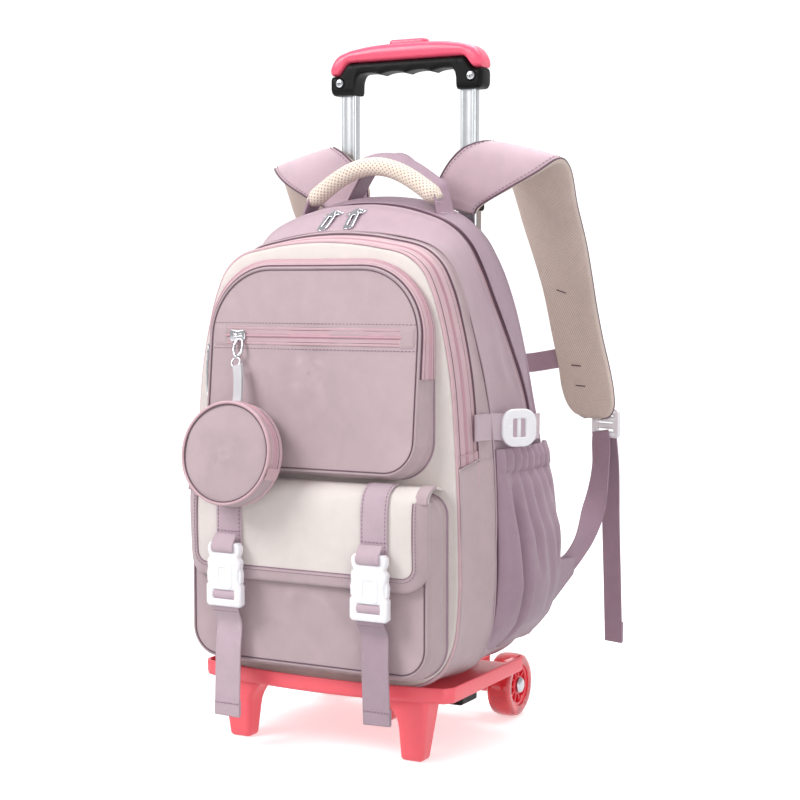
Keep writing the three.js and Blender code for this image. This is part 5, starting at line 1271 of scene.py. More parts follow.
# %% One side pocket
def side_pocket(side, name):
    """Gathered cloth over the bag's side, with its hem stitches and its three seams"""
    ts = np.linspace(0, 1, 150)
    rises = np.concatenate([np.linspace(0, 0.86, 46), np.linspace(0.875, 1.0, 18)])
    y = SIDE_FRONT + (SIDE_REAR - SIDE_FRONT) * ts[None]
    z = SIDE_LOW + (SIDE_HIGH - SIDE_LOW) * rises[:, None]
    swell = np.interp(rises, SIDE_ROWS[:, 0], SIDE_ROWS[:, 1])[:, None]
    ruffle = np.interp(rises, SIDE_ROWS[:, 0], SIDE_ROWS[:, 2])[:, None]
    casing = np.clip((rises[:, None] - CASING_RISE) / 0.02, 0, 1)
    belly = np.sin(np.pi * np.clip(ts, 0.001, 0.999) ** 1.35)[None] ** 0.38
    base = side_x(np.minimum(y, 3.0), z + 0 * y) + 0.8
    phase = ts[None] * RUFFLES * math.tau + 0.6 * np.sin(z / 9)
    puffs = np.abs(np.sin(phase / 2)) ** 0.7 * 5.0 * casing - 2.2 * casing
    slow = 0.9 * ruffle * np.sin(ts[None] * 7 * math.tau + rises[:, None] * 3) * (1 - casing)
    x = base + belly * (swell * SIDE_SWELL + slow + puffs)
    grid = np.stack([x, y + 0 * z, z + 0 * y], -1)
    for (y0, z0), (y1, z1), wide, deep in SIDE_FOLDS:
        grid[..., 0] += crease(grid * (0, 1, 1), (0, y0, z0), (0, y1, z1), wide, deep) * belly
    grid[..., 0] += 1.2 * uneven(grid, 34, 60.0) * belly
    hem = 0.9 * casing * np.exp(-((rises[:, None] - HEM_RISE) / 0.008) ** 2)
    grid[..., 0] -= hem * 2.2 * belly
    grid[..., 0] *= side
    piece = grid_piece(f"side_pocket_cloth_{name}", grid, "side", slot="side_cloth")
    thicken(piece, 1.2, -1.0 if side > 0 else 1.0)
    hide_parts(f"side_pocket_{name}")
    row = int(np.argmin(np.abs(rises - HEM_RISE)))
    stitches(f"side_pocket_hem_{name}", grid[row] + (side * 0.9, 0, 0), (side, 0, 0), "thread", 3.6)
    for label, line in (("front", grid[:, 0]), ("foot", grid[0]), ("rear", grid[:, -1])):
        sweep(
            f"side_pocket_seam_{label}_{name}", line + (side * 0.3, 0, 0), oval(1.2, 1.2, 8),
            (side, 0.01, 0), "dark" if label == "front" else "side")


for side, name in SIDES:
    side_pocket(side, name)
print("side pockets done")


# %% [markdown]
# Webbing is flat and stiff, with a thick edge. The side straps run back from the gusset's seam
# through a white slider, and pull the bag's sides together.

# %% Webbing
def strap(
        name, path, wide, across, material="webbing", body="bag", thick=WEBBING, count=80, slot="webbing",
        **more):
    """A strap along a few points, which are on its middle line"""
    line = smooth_path(path, count)
    if isinstance(across, list):
        across = unit(smooth_path(np.array(across, float), count))
    return sweep(name, line, strap_section(wide, thick), across, material, body=body, slot=slot, **more)


SIDE_STRAP = [
    # y, distance from the bag's side, drop
    (-122, 1.5, 0), (-108, 1.5, 0), (-92, 2, .5), (-80, 5, 1.5), (-57, 21, 3), (-40, 17, 4), (-18, 9, 5),
    (0, 5, 6),
]


def side_strap(side, name):
    """The compression strap on the bag's side"""
    path = []
    for y, off, drop in SIDE_STRAP:
        z = 297 - drop
        path.append((side * (float(side_x(y, z)) + 0.3 + off), y, z))
    piece = strap(f"side_webbing_{name}", path, 24, (0, 0, 1))
    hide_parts(f"side_strap_{name}")


# %% Moulded plates
def plate(name, outline, holes, thick, bevel, material, basis, centre, body="bag", slot=None):
    """A moulded plate: outline and holes in its own plane, cut and bevelled"""
    curve = bpy.data.curves.new(name, "CURVE")
    curve.dimensions = "2D"
    curve.fill_mode = "BOTH"
    curve.extrude = max(thick / 2 - bevel, 0.01)
    curve.bevel_depth = bevel
    curve.bevel_resolution = 3
    for loop in [outline] + list(holes):
        line = curve.splines.new("POLY")
        line.points.add(len(loop) - 1)
        for point, (a, b) in zip(line.points, loop):
            point.co = (a, b, 0, 1)
        line.use_cyclic_u = True
    made = link(bpy.data.objects.new(name, curve))
    graph = bpy.context.evaluated_depsgraph_get()
    mesh = bpy.data.meshes.new_from_object(made.evaluated_get(graph))
    bpy.data.objects.remove(made)
    right, up, out = [np.array(axis, float) for axis in basis]
    flat = np.array([v.co[:] for v in mesh.vertices])
    turned = np.array(centre) + flat[:, :1] * right + flat[:, 1:2] * up + flat[:, 2:] * out
    faces = [tuple(p.vertices) for p in mesh.polygons]
    bpy.data.meshes.remove(mesh)
    piece = new_piece(name, turned, faces, None, material, body=body, slot=slot)
    tidy_normals(piece)
    soften(piece)
    return piece


def soften(piece, angle=35):
    """Smooth shading that keeps edges sharper than an angle"""
    for polygon in piece.data.polygons:
        polygon.use_smooth = True
    piece.data.set_sharp_from_angle(angle=math.radians(angle))
    return piece


def rounded_box(x0, x1, z0, z1, radius, steps=6):
    """A rounded rectangle as points, anticlockwise"""
    points = []
    for cx, cz, start in (
            (x1 - radius, z1 - radius, 0), (x0 + radius, z1 - radius, 90), (x0 + radius, z0 + radius, 180),
            (x1 - radius, z0 + radius, 270)):
        points += [
            (cx + radius * math.cos(a), cz + radius * math.sin(a))
            for a in np.radians(np.linspace(start, start + 90, steps))]
    return points


# %% Side straps and their sliders
for side, name in SIDES:
    side_strap(side, name)
    low, high = box_mm(f"side_slider_{name}")
    middle = (low + high) / 2
    front = np.array([low[0] if side > 0 else high[0], low[1], middle[2]])
    rear = np.array([high[0] if side > 0 else low[0], high[1], middle[2]])
    way = unit(rear - front)
    out = np.cross((0, 0, 1), way) * -1 if side > 0 else np.cross((0, 0, 1), way)
    long = np.linalg.norm(rear - front) - 3
    centre = (front + rear) / 2
    window = rounded_box(-long / 2 + 8, long / 2 - 8, -10, 10, 3)
    slider = plate(
        f"side_slider_body_{name}", rounded_box(-long / 2, long / 2, -15.5, 15.5, 11, 10), [window], 4.6,
        1.6, "buckle", (way, (0, 0, 1), out), centre, slot="buckle")
    sweep(
        f"side_slider_bar_{name}", [centre + (0, 0, z) for z in (-10.5, 0, 10.5)], oval(2.2, 1.8, 12), way,
        "buckle")
    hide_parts(f"side_slider_{name}")
    tail = [
        centre - way * (long / 2 - 3) - out * 2.4, centre - way * 5 - out * 0.4, centre + way * 5
        - out * 0.4, centre + way * (long / 2 - 3) - out * 2.4]
    strap(f"side_webbing_top_{name}", tail, 18.5, (0, 0, 1))

# %% [markdown]
# A shoulder strap is a padded piece: satin outside, spacer mesh inside, foam between, and a narrow
# binding round its edge. It is sewn into the back seam, rises over the bag's top, and falls
# behind it in a curve, narrowing to the webbing at its tip.

# %% Shoulder straps
PAD_ROWS = np.array([
    # inner x, y, z, outer x, y, z
    (36, 3, 500, 80, 2.5, 490), (38, 6, 518, 84, 6, 497), (52, 6, 541, 112, 6, 512), (66, 7, 553, 140, 12, 527),
    (84, 20, 558, 158, 24, 539), (86, 48, 548, 160, 42, 532), (85, 80, 518, 159, 62, 498),
    (84, 108, 484, 158, 88, 462), (85, 132, 452, 156, 108, 430), (88, 150, 418, 154, 125, 402),
    (92, 165, 372, 156, 138, 368), (97, 171, 338, 161, 146, 336), (101, 170.5, 316, 165, 146.5, 314),
    (108, 168.5, 300, 165, 147.5, 299), (118, 164, 291, 160, 149, 290.5), (130, 159, 287, 151, 151.5, 287),
], float)
PAD_THICK = 10.0


def pad_edge(knots, count=150):
    """One edge of the pad as a curve, with the same share of its knots at each step"""
    line = smooth_path(knots, 600)
    run, dense = run_along(knots), run_along(line)
    where = np.linspace(0, len(knots) - 1, count)
    want = np.interp(where, np.arange(len(knots)), run) / run[-1] * dense[-1]
    return np.stack([np.interp(want, dense, line[:, k]) for k in range(3)], 1)


PAD_INNER, PAD_OUTER = pad_edge(PAD_ROWS[:, :3]), pad_edge(PAD_ROWS[:, 3:])
PAD_OUT = unit(np.cross(PAD_OUTER - PAD_INNER, tangents((PAD_INNER + PAD_OUTER) / 2)))
PAD_SECTION = [
    # share across, share of the thickness, slot: 0 outside, 1 edge, 2 mesh
    (0.00, 0.00, 1), (0.004, 0.40, 1), (0.020, 0.52, 0), (0.05, 0.66, 0), (0.10, 0.82, 0), (0.20, 0.96, 0),
    (0.35, 1.00, 0), (0.50, 1.00, 0), (0.65, 1.00, 0), (0.80, 0.96, 0), (0.90, 0.82, 0), (0.95, 0.66, 0),
    (0.980, 0.52, 0), (0.996, 0.40, 1), (1.00, 0.00, 1), (0.996, -0.40, 1), (0.98, -0.52, 2), (0.95, -0.70, 2),
    (0.90, -0.84, 2), (0.80, -0.96, 2), (0.65, -1.0, 2), (0.5, -1.0, 2), (0.35, -1.0, 2), (0.2, -0.96, 2),
    (0.10, -0.84, 2), (0.05, -0.70, 2), (0.02, -0.52, 2), (0.004, -0.40, 2),
]


# %% One shoulder pad
def shoulder_pad(side, name):
    """The pad, swelled between its bound edges, with its stitches and bar tacks"""
    shares = np.array([row[0] for row in PAD_SECTION])[None, :, None]
    lifts = np.array([row[1] for row in PAD_SECTION])[None, :, None]
    ends = np.linspace(0, 1, len(PAD_INNER))
    thick = PAD_THICK / 2 * np.minimum(1, np.minimum(0.5 + ends * 12, 0.45 + (1 - ends) * 9))[:, None, None]
    line = PAD_INNER[:, None] * (1 - shares) + PAD_OUTER[:, None] * shares
    grid = line + PAD_OUT[:, None] * lifts * thick
    dimple = 0.5 * uneven(grid, 30, 70.0)
    grid = grid + PAD_OUT[:, None] * (dimple[..., None] * np.sign(lifts) * np.abs(lifts) ** 2)
    grid = grid * (side, 1, 1)
    piece = grid_piece(
        f"shoulder_pad_cloth_{name}", grid, ["pad_cloth", "pad_mesh", "pad_mesh"], loop_columns=True,
        caps=True, slots=[row[2] for row in PAD_SECTION], slot="bag_cloth")
    tidy_normals(piece)
    sides = len(PAD_SECTION)
    held = [
        i * sides + j for i in range(len(grid)) for j in range(sides) if abs(PAD_SECTION[j][1]) < 0.6
        or i < 3 or i > len(grid) - 4]
    swelled = swell_by_cloth(piece, held, 2.4)
    print("pad", name, "swelled by up to", round(swelled, 2), "mm")
    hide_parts(f"shoulder_pad_{name}")
    for height, share in ((417, 0.46), (340, 0.44), (320, 0.46)):
        k = int(
            np.argmin(np.abs((PAD_INNER + PAD_OUTER)[:, 2] / 2 - height) + (PAD_OUTER[:, 1] < 60) * 1000))
        across = unit(PAD_OUTER[k] - PAD_INNER[k])
        centre = PAD_INNER[k] * (1 - share) + PAD_OUTER[k] * share - PAD_OUT[k] * (PAD_THICK / 2 + 0.2)
        bar = np.array([centre + across * t for t in np.linspace(-6.5, 6.5, 14)]) * (side, 1, 1)
        sweep(
            f"pad_bar_tack_{name}_{height}", bar, oval(1.5, 0.7, 8), tuple(PAD_OUT[k] * (side, 1, 1)),
            "dark")
    for label, share, seam in (("inner", 0.012, 0.06), ("outer", 0.988, 0.94)):
        edge = PAD_INNER * (1 - share) + PAD_OUTER * share + PAD_OUT * (thick[:, 0] * 0.5)
        sweep(f"pad_binding_{label}_{name}", edge * (side, 1, 1), oval(1.0, 0.9, 8), (1, 0.01, 0), "dark")
        line = PAD_INNER * (1 - seam) + PAD_OUTER * seam + PAD_OUT * (thick[:, 0] * 0.74)
        stitches(f"pad_stitches_{label}_{name}", line * (side, 1, 1), PAD_OUT * (side, 1, 1), "thread", 4.0)


for side, name in SIDES:
    shoulder_pad(side, name)
print("pads done")

# %% [markdown]
# At the top are a padded carry handle, rolled in spacer mesh with a band of webbing over it, and
# behind it a plain webbing loop to hang the bag from.

# %% Carry handle and rear loop
HANDLE_Y = -52.0
low, high = box_mm("handle_mesh")
xs = np.linspace(-70, 70, 90)
mesh_top = high[2] - 9.4
mesh_low = low[2] + 7.0
middle = np.stack(
    [xs, np.full(90, HANDLE_Y), mesh_low + (mesh_top - mesh_low) * (1 - (xs / 72) ** 2) ** 1.3], 1)
ends = np.clip((72.5 - np.abs(xs)) / 10, 0.35, 1) ** 0.5
handle_tube = sweep(
    "handle_mesh_roll", middle, oval(9.3, 8.6, 28), (0, 1, 0.01), "spacer", wide=ends, high=ends,
    slot="spacer_mesh")
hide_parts("handle_mesh")
print("handle roll from", mesh_low.round(1), "to", mesh_top.round(1))

# %% Band of the carry handle
xs = np.linspace(-79, 79, 120)
over_mesh = np.interp(xs, middle[:, 0], middle[:, 2] + 9.6)
skin_z = skin(np.linspace(0.42, 0.58, 400), 4.15)
on_skin = np.interp(xs, skin_z[::-1, 0], skin_z[::-1, 2])
blend = np.clip((76 - np.abs(xs)) / 12, 0, 1)
blend = blend * blend * (3 - 2 * blend)
band_z = (on_skin + 1.6) * (1 - blend) + over_mesh * blend
band_path = np.stack([xs, HANDLE_Y + 8 * blend + (1 - blend) * 4, band_z], 1)
carry = sweep(
    "handle_band", band_path, strap_section(27, 2.0, 14), (0, 1, 0.28), "webbing_dark", slot="webbing")
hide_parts("carry_handle")
for side in (-1, 1):
    for row in (0.0, 5.0):
        line = np.array(
            [(side * (76 - row), HANDLE_Y - 8 + k, np.interp(side * (76 - row), xs, band_z) + 1.3)
            for k in np.linspace(0, 22, 12)])
        stitches(f"handle_tack_{side}_{int(row)}", line, (0, 0, 1), "thread_light", 2.6)

# %% Rear loop
low, high = box_mm("rear_loop")
xs = np.linspace(-42, 42, 90)
share = xs / 42
loop_z = low[2] + 2.4 + (high[2] - low[2] - 3.4) * (1 - share ** 2) ** 1.15
loop_path = np.stack([xs, np.full(90, (low[1] + high[1]) / 2) - 3, loop_z], 1)
loop = sweep(
    "rear_loop_webbing", loop_path, strap_section(27, 2.0, 14), (0, 1, 0.12), "webbing_dark",
    slot="webbing")
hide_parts("rear_loop")
print("rear loop rises to", loop_z.max().round(1))

# %% [markdown]
# The bag's back is a padded panel with channels, faced in spacer mesh. It is hidden in the
# photograph, so it is finished plainly: a bordered panel of mesh with a soft swell.

# %% Back panel
BACK_Y = 4.2
back_edge = skin(ROUND, 6.0)[:, [0, 2]]
back_centre = np.array([0, 268.0])
shares = np.concatenate([[1.0, 0.995], np.linspace(0.98, 0.02, 60)])
flat = back_centre + (back_edge[:, None] - back_centre) * shares[None, :, None] * 0.995
rise = 7.6 * (1 - shares ** 10)[None] + 0 * flat[..., 0]
channels = sum(
    np.exp(-((flat[..., 1] - z) / 5.0) ** 2) for z in (150, 235, 320, 405)) + np.exp(-(flat[...,
    0] / 5.5) ** 2)
rise = rise - 2.6 * np.clip(channels, 0, 1) * (shares < 0.86)[None]
back_grid = np.stack([flat[..., 0], BACK_Y + rise, flat[..., 1]], -1)
slots = [0 if value > 0.87 else 1 for value in shares]
back = grid_piece(
    "back_panel_cloth", back_grid, ["mauve", "pad_mesh"], loop_rows=True, slots=slots, slot="spacer_mesh")
thicken(back, 1.0, -1.0)
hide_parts("back_panel")
line = back_grid[:, int(np.argmin(np.abs(shares - 0.865)))] + (0, 0.6, 0)
sweep("back_panel_border", line, oval(1.4, 1.4, 8), (0, 1, 0.02), "piping", closed=True)


# %% [markdown]
# The lower straps: webbing from a triangular tab in the back seam up to a ladder lock at the pad's
# tip, and from there a free tail, folded and sewn at its end. Between the pads runs a chest strap
# with a flat clasp.

# %% Lower straps
TAIL_WIDE = 23
for side, name in SIDES:
    lock_low, lock_high = box_mm(f"ladder_lock_{name}")
    centre = (lock_low + lock_high) / 2
    holes = [
        rounded_box(-12.5, 12.5, -9.5, -4.5, 1.5), rounded_box(-12.5, 12.5, -1.5, 2.5, 1.5),
        rounded_box(-12.5, 12.5, 5.5, 9.5, 1.5)]
    way = unit(np.array([side * (lock_high[0] - lock_low[0]), -(lock_high[1] - lock_low[1]) + 4, 0]))
    out = np.cross(way, (0, 0, 1))
    lock = plate(
        f"ladder_lock_body_{name}", rounded_box(-17, 17, -13.5, 13.5, 3.5), holes, 4.6, 1.4, "buckle",
        (way, (0, 0, 1), out), centre, slot="buckle")
    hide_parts(f"ladder_lock_{name}")
    for z in (-11.3, 3.9, 11.3):
        bar = centre + (0, 0, z) + out * 0.8
        sweep(
            f"lock_bar_{name}_{int(z)}", [bar - way * 14, bar, bar + way * 14], oval(2.2, 2.2, 10),
            (0, 0, 1), "buckle")
    tail_low, tail_high = box_mm(f"strap_tail_{name}")
    xs_tail = np.array([centre[0] + side * 1.5, side * 158, side * 160, side * 162, side * 163.5])
    zs_tail = np.array([tail_high[2] + 4, 240, 180, 120, tail_low[2] + 1])
    ys_tail = np.array([centre[1] + 1.0, 160.5, 158.5, 158.5, 159.5])
    tail = strap(
        f"strap_tail_webbing_{name}", np.stack([xs_tail, ys_tail, zs_tail], 1), TAIL_WIDE,
        (side * 0.94, -0.34, 0), "webbing_dark", slot="webbing_dark")
    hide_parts(f"strap_tail_{name}")
    end = np.array([xs_tail[-1], ys_tail[-1], zs_tail[-1]])
    strap(
        f"strap_tail_fold_{name}", [end + (0, 1.8, 1.2), end + (0, 1.9, 12), end + (0, 1.8, 22)], TAIL_WIDE,
        (side * 0.94, -0.34, 0), "webbing_dark", count=12, slot="webbing_dark")
    lower = [
        (side * 149, centre[1] - 2, centre[2] - 8), (side * 152, 150, 245), (side * 154, 130, 205),
        (side * 152, 105, 170), (side * 145, 84, 149), (side * 142, 68, 144)]
    turns = [
        (side * 1, -0.5, 0), (side * 1, -0.3, 0.1), (side * 0.8, -0.2, 0.4), (side * 0.5, 0.5, 0.6),
        (side * 0.1, 0.75, -0.75), (side * 0.02, 0.7, -0.75)]
    webbing = strap(
        f"lower_webbing_strap_{name}", lower, TAIL_WIDE, turns, "webbing_dark", slot="webbing_dark")
    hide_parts(f"lower_webbing_{name}")
    corner = np.array([(147, 4, 106), (148, 8, 160), (147, 95, 153), (147, 88, 137)]) * (side, 1, 1)
    a, b = np.linspace(0, 1, 24)[:, None, None], np.linspace(0, 1, 24)[None, :, None]
    rows = (corner[0] * (1 - a) + corner[3] * a) * (1 - b) + (corner[1] * (1 - a) + corner[2] * a) * b
    tab = grid_piece(f"corner_tab_cloth_{name}", rows, "side", slot="bag_cloth")
    thicken(tab, 2.4, 0.0)
    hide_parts(f"corner_tab_{name}")

print("lower straps", TAIL_WIDE, "mm wide")

# %% Chest strap and clasp
chest = [
    (-97, 171, 347), (-60, 175, 341), (-20, 179, 338.5), (20, 179, 338.5), (60, 175, 341), (97, 171, 347)]
chest_strap = strap("chest_webbing", chest, 20, (0, 0, 1), "webbing_dark", slot="webbing_dark", count=120)
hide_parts("chest_strap")
centre = middle_mm("chest_clasp")
outline = rounded_box(-22, 22, -13, 13, 4)
holes = [
    rounded_box(-18.5, -14.5, -9.5, 9.5, 1.5), rounded_box(14.5, 18.5, -9.5, 9.5, 1.5),
    rounded_box(-8, 8, -5.5, 5.5, 2.5)]
clasp = plate(
    "chest_clasp_body", outline, holes, 5.2, 1.6, "clasp", ((-1, 0, 0), (0, 0, 1), (0, 1, 0)), centre,
    slot="clasp")
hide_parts("chest_clasp")
print("clasp at", centre.round(1))

# %% [markdown]
# The front straps come out from under the flap's seam, run down over the flap to a side-release
# buckle, and end below it in free tails.

# %% Front straps
STRAP_X, STRAP_WIDE = 75.0, 27


def front_strap(side, name, buckle_z):
    """Webbing over the flap down to its buckle, with stitched edges and a cross seam"""
    line = flap_point(np.full(44, side * STRAP_X), np.linspace(0.02, 0.9, 44))
    normal = out_of_flap(line)
    line = line + normal * 2.4
    keep = line[:, 2] > 186
    piece = sweep(
        f"front_webbing_{name}", even_steps(line[keep], 60), strap_section(STRAP_WIDE, WEBBING, 12),
        (1, 0, 0), "webbing", slot="webbing")
    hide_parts(f"front_strap_{name}")
    for off in (-11.3, 11.3):
        stitches(
            f"front_strap_edge_{name}_{int(off)}", (line + normal * 0.9)[keep] + (off, 0, 0), (0, -1, 0),
            "thread", 3.4)
    spot = int(np.argmin(np.abs(line[:, 2] - buckle_z - 38)))
    cross_stitches(f"front_strap_stitches_{name}", line[spot] + normal[spot] * 1.1, 11.5)


def cross_stitches(name, middle, half):
    """A short level row of stitches on a strap"""
    stitches(
        name, np.array([middle + (x, 0, 0) for x in np.linspace(-half, half, 10)]), (0, -1, 0), "thread", 3)


# %% Side-release buckles
def front_buckle(name, centre):
    """The buckle's body, face plate and prongs, with the webbing through both its windows"""
    basis = ((1, 0, 0), (0, 0, 1), (0, -1, 0))
    half_body = [
        (15.5, -27.5), (17, -26), (17, -10.5), (15, -8), (14, -4), (14, 3), (15.6, 7), (16, 12), (13, 16),
        (14.6, 19), (15.6, 22), (15.4, 25.5), (13.5, 27.5)]
    body = half_body + [(-x, z) for x, z in half_body[::-1]]
    window = [rounded_box(-11, 11, 18.5, 24.2, 2), rounded_box(-12.5, 12.5, -24.2, -12.5, 1.5)]
    shell = plate(f"buckle_body_{name}", body, window, 8.0, 1.8, "buckle", basis, centre, slot="buckle")
    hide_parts(f"buckle_{name}")
    plate(
        f"buckle_face_{name}", rounded_box(-9, 9, -13, 11, 4), [rounded_box(-5.5, 5.5, -9, 7, 2.5)], 2.4,
        0.8, "buckle", basis, centre + (0, -3.2, 0))
    for prong in (-1, 1):
        plate(
            f"buckle_prong_{name}_{prong}", [(prong * 14.8, -8), (prong * 17.4, -6.5), (prong * 17.8, 1),
            (prong * 16.8, 5), (prong * 14.8, 5.5)][::prong], [], 5.6, 0.8, "buckle", basis, centre)
    loop = centre + (0, -1.5, 21.5)
    strap(
        f"buckle_wrap_{name}", [loop + (0, 3.2, 15), loop + (0, -2.0, 9), loop + (0, -4.2, 4.5),
        loop + (0, -3.4, 0.5), loop + (0, 1.5, -1.8)], 23, (1, 0, 0), count=24)
    bar = centre + (0, 0, -18.5)
    strap(
        f"buckle_bar_wrap_{name}", [bar + (0, 3.0, 5.6), bar + (0, -2.4, 3.0), bar + (0, -3.0, -1.5),
        bar + (0, 2.5, -5.6)], 24, (1, 0, 0), count=24)


# %% Tails below the buckles
def front_tail(side, name):
    """The free end below a buckle, folded and sewn at its foot"""
    low, high = box_mm(f"front_tail_{name}")
    drop = high[2] - low[2]
    run = [(0, 0, 0), (.04, 0, 0), (.17, .85, .6), (.4, .7, 1.4), (.7, .7, 2.3), (1, .7, 3.2)]
    # the right tail takes the darker copy of the webbing, which is painted shade
    tail_cloth = "webbing_low" if side > 0 else "webbing"
    tail = [
        (side * (STRAP_X + shift), low[1] + 1.2 + back * 8.0, high[2] - fall * (drop - 1))
        for fall, back, shift in run]
    piece = strap(f"front_tail_webbing_{name}", tail, STRAP_WIDE, (1, 0, 0), tail_cloth, count=90)
    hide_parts(f"front_tail_{name}")
    end = np.array(tail[-1])
    strap(
        f"front_tail_fold_{name}", [end + (0, 1.8, 0.8), end + (0, 1.9, 8), end + (0, 1.8, 15)], STRAP_WIDE,
        (1, 0, 0), tail_cloth, count=12)
    cross_stitches(f"front_tail_stitches_{name}", end + (0, -1.1, 12), 12)
    cross_stitches(f"front_tail_top_{name}", np.array([side * STRAP_X, tail[0][1] - 1.1, 128]), 12)
    return drop


for side, name in SIDES:
    centre = middle_mm(f"buckle_{name}")
    front_strap(side, name, centre[2])
    front_buckle(name, centre)
    print("front strap", name, "with a tail of", front_tail(side, name).round(1), "mm")

# %% [markdown]
# The pull-out handle: bright aluminium tubes with a groove down their face, a black grip body with
# hollows for the fingers, held by two screws, and a pink shell over it with the button in its top.

# %% Trolley tubes
TUBE_X, TUBE_Y = 65.8, 20.0


def tube_section(wide, deep, groove=0.9):
    """A rounded rectangle with a shallow groove in its front and back"""
    corners = np.array(rounded_box(-wide / 2, wide / 2, -deep / 2, deep / 2, 2.2, 5))
    dense = even_steps(corners, 64, closed=True)
    dip = np.clip(1 - (dense[:, 0] / (wide * 0.28)) ** 2, 0, 1)
    dense[:, 1] -= np.sign(dense[:, 1]) * dip * groove * (np.abs(dense[:, 1]) > deep * 0.4)
    return dense


for side, name in SIDES:
    for node, wide, deep, body, slot in (
            ("inner_tube", 17, 10, "handle", "tube"), ("outer_tube", 20.2, 13.2, "bag", "tube")):
        low, high = box_mm(f"{node}_{name}")
        zs = np.linspace(low[2], high[2], 12)
        path = np.stack([np.full(12, side * TUBE_X), np.full(12, TUBE_Y), zs], 1)
        piece = sweep(
            f"{node}_metal_{name}", path, tube_section(wide, deep), (1, 0, 0), "tube", body=body, slot=slot)
        soften(piece, 40)
        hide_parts(f"{node}_{name}")
    path = [(side * TUBE_X, TUBE_Y, z) for z in (494, 496, 500, 503, 504)]
    grow = [0.9, 1, 1, 0.98, 0.9]
    soften(
        sweep(f"tube_collar_{name}", path, rounded_box(-12.5, 12.5, -9, 9, 3), (1, 0, 0), "black",
        wide=grow, high=grow))
    print("tube", name, "from", low[2].round(1), "to", high[2].round(1))

# %% Shape of the grip
GRIP_TOP, GRIP_HALF, GRIP_DEEP = 658.0, 82.6, 25.0


def grip_top(x):
    """Height of the shell's top at x"""
    return GRIP_TOP - 11 * (np.abs(x) / GRIP_HALF) ** 3.2


def grip_split(x):
    """Height of the joint between the shell and the black body"""
    step = np.clip((np.abs(x) - 62) / 13, 0, 1)
    return GRIP_TOP - 16.5 - 12 * step * step * (3 - 2 * step)


def lofted(
        name, xs, low_at, high_at, deep_at, material, body, corner=5.0, slot=None, centre_y=TUBE_Y,
        sides=40):
    """A bar along X whose section is a rounded rectangle between two heights"""
    rows = []
    for x in xs:
        low, high, deep = low_at(x), high_at(x), deep_at(x)
        radius = min(corner, (high - low) / 2 - 0.1, deep / 2 - 0.1)
        ring = even_steps(
            np.array(rounded_box(-deep / 2, deep / 2, low, high, radius, 7)), sides, closed=True)
        rows.append([(x, centre_y + a, b) for a, b in ring])
    piece = grid_piece(name, np.array(rows), material, loop_columns=True, caps=True, body=body, slot=slot)
    tidy_normals(piece)
    soften(piece, 40)
    return piece


def end_round(x, half, radius):
    """How far a bar's section shrinks near its rounded ends"""
    inside = np.clip((half - abs(x)) / radius, 0.0, 1)
    return radius * (1 - math.sqrt(max(0, 1 - (1 - inside) ** 2)))


# %% Grip shell and body
ends = np.concatenate(
    [-GRIP_HALF + np.array([0.05, 0.3, 0.8, 1.6, 2.8, 4.5, 6]), np.linspace(-74, 74, 70),
    GRIP_HALF - np.array([6, 4.5, 2.8, 1.6, 0.8, 0.3, 0.05])])
shell = lofted(
    "grip_shell_cover", ends, lambda x: grip_split(x) + 0.15 + end_round(x, GRIP_HALF, 1.5),
    lambda x: grip_top(x) - end_round(x, GRIP_HALF, 11), lambda x: GRIP_DEEP - end_round(x, GRIP_HALF, 5),
    "shell", "handle", 7.0, "grip_shell")
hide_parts("grip_shell")
INSIDE = GRIP_HALF - 26


def body_low(x):
    """Underside of the black body: end blocks, and hollows for four fingers between them"""
    if abs(x) > INSIDE:
        return 610.0 + end_round(x, GRIP_HALF, 4)
    inside = INSIDE - abs(x)
    fillet = 8 - math.sqrt(max(0.0, 64 - (8 - min(8.0, inside)) ** 2))
    scallop = 2.8 * (
        1 - abs(math.sin((x + INSIDE) / (2 * INSIDE) * 4 * math.pi)) ** 0.7) * min(1, inside / 10)
    return 631 - scallop - fillet * 2.1


xs = np.concatenate(
    [ends[:12], np.linspace(-72, -INSIDE - 0.1, 12), np.linspace(-INSIDE + 0.1, INSIDE - 0.1, 120),
    np.linspace(INSIDE + 0.1, 72, 12), ends[-12:]])
grip = lofted(
    "grip_body_black", np.unique(xs), body_low, lambda x: grip_split(x) - 0.25, lambda x: GRIP_DEEP - 2.2
    - end_round(x, GRIP_HALF, 4), "black", "handle", 4.5, "grip_body")
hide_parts("grip_body")
print("grip", 2 * GRIP_HALF, "mm long")

# %% Screws of the grip
SCREW_Z = 622
GRIP_FRONT = TUBE_Y - GRIP_DEEP / 2
for x in (-72.0, 72.0):
    head = [(x, GRIP_FRONT + 1.6 - lift, SCREW_Z) for lift in (0, 0.8, 1.5, 2.0, 2.2)]
    grow = [1, 1, 0.95, 0.75, 0.4]
    soften(
        sweep(f"grip_screw_{int(x)}", head, oval(4.2, 4.2, 24), (1, 0, 0), "screw", wide=grow, high=grow,
        body="handle"))
    centre = np.array([x, GRIP_FRONT - 0.55, SCREW_Z])
    for turn, way in enumerate(np.array([(0, 0, 2.4), (2.4, 0, 0)])):
        sweep(
            f"screw_slot_{int(x)}_{turn}", [centre - way, centre + way], oval(0.55, 0.3, 6), (0, 1, 0.01),
            "black", body="handle")
    sweep(
        f"screw_well_{int(x)}", [(x, GRIP_FRONT + 1.25, SCREW_Z), (x, GRIP_FRONT + 0.9, SCREW_Z)],
        oval(5.6, 5.6, 28), (1, 0, 0), "black", body="handle")

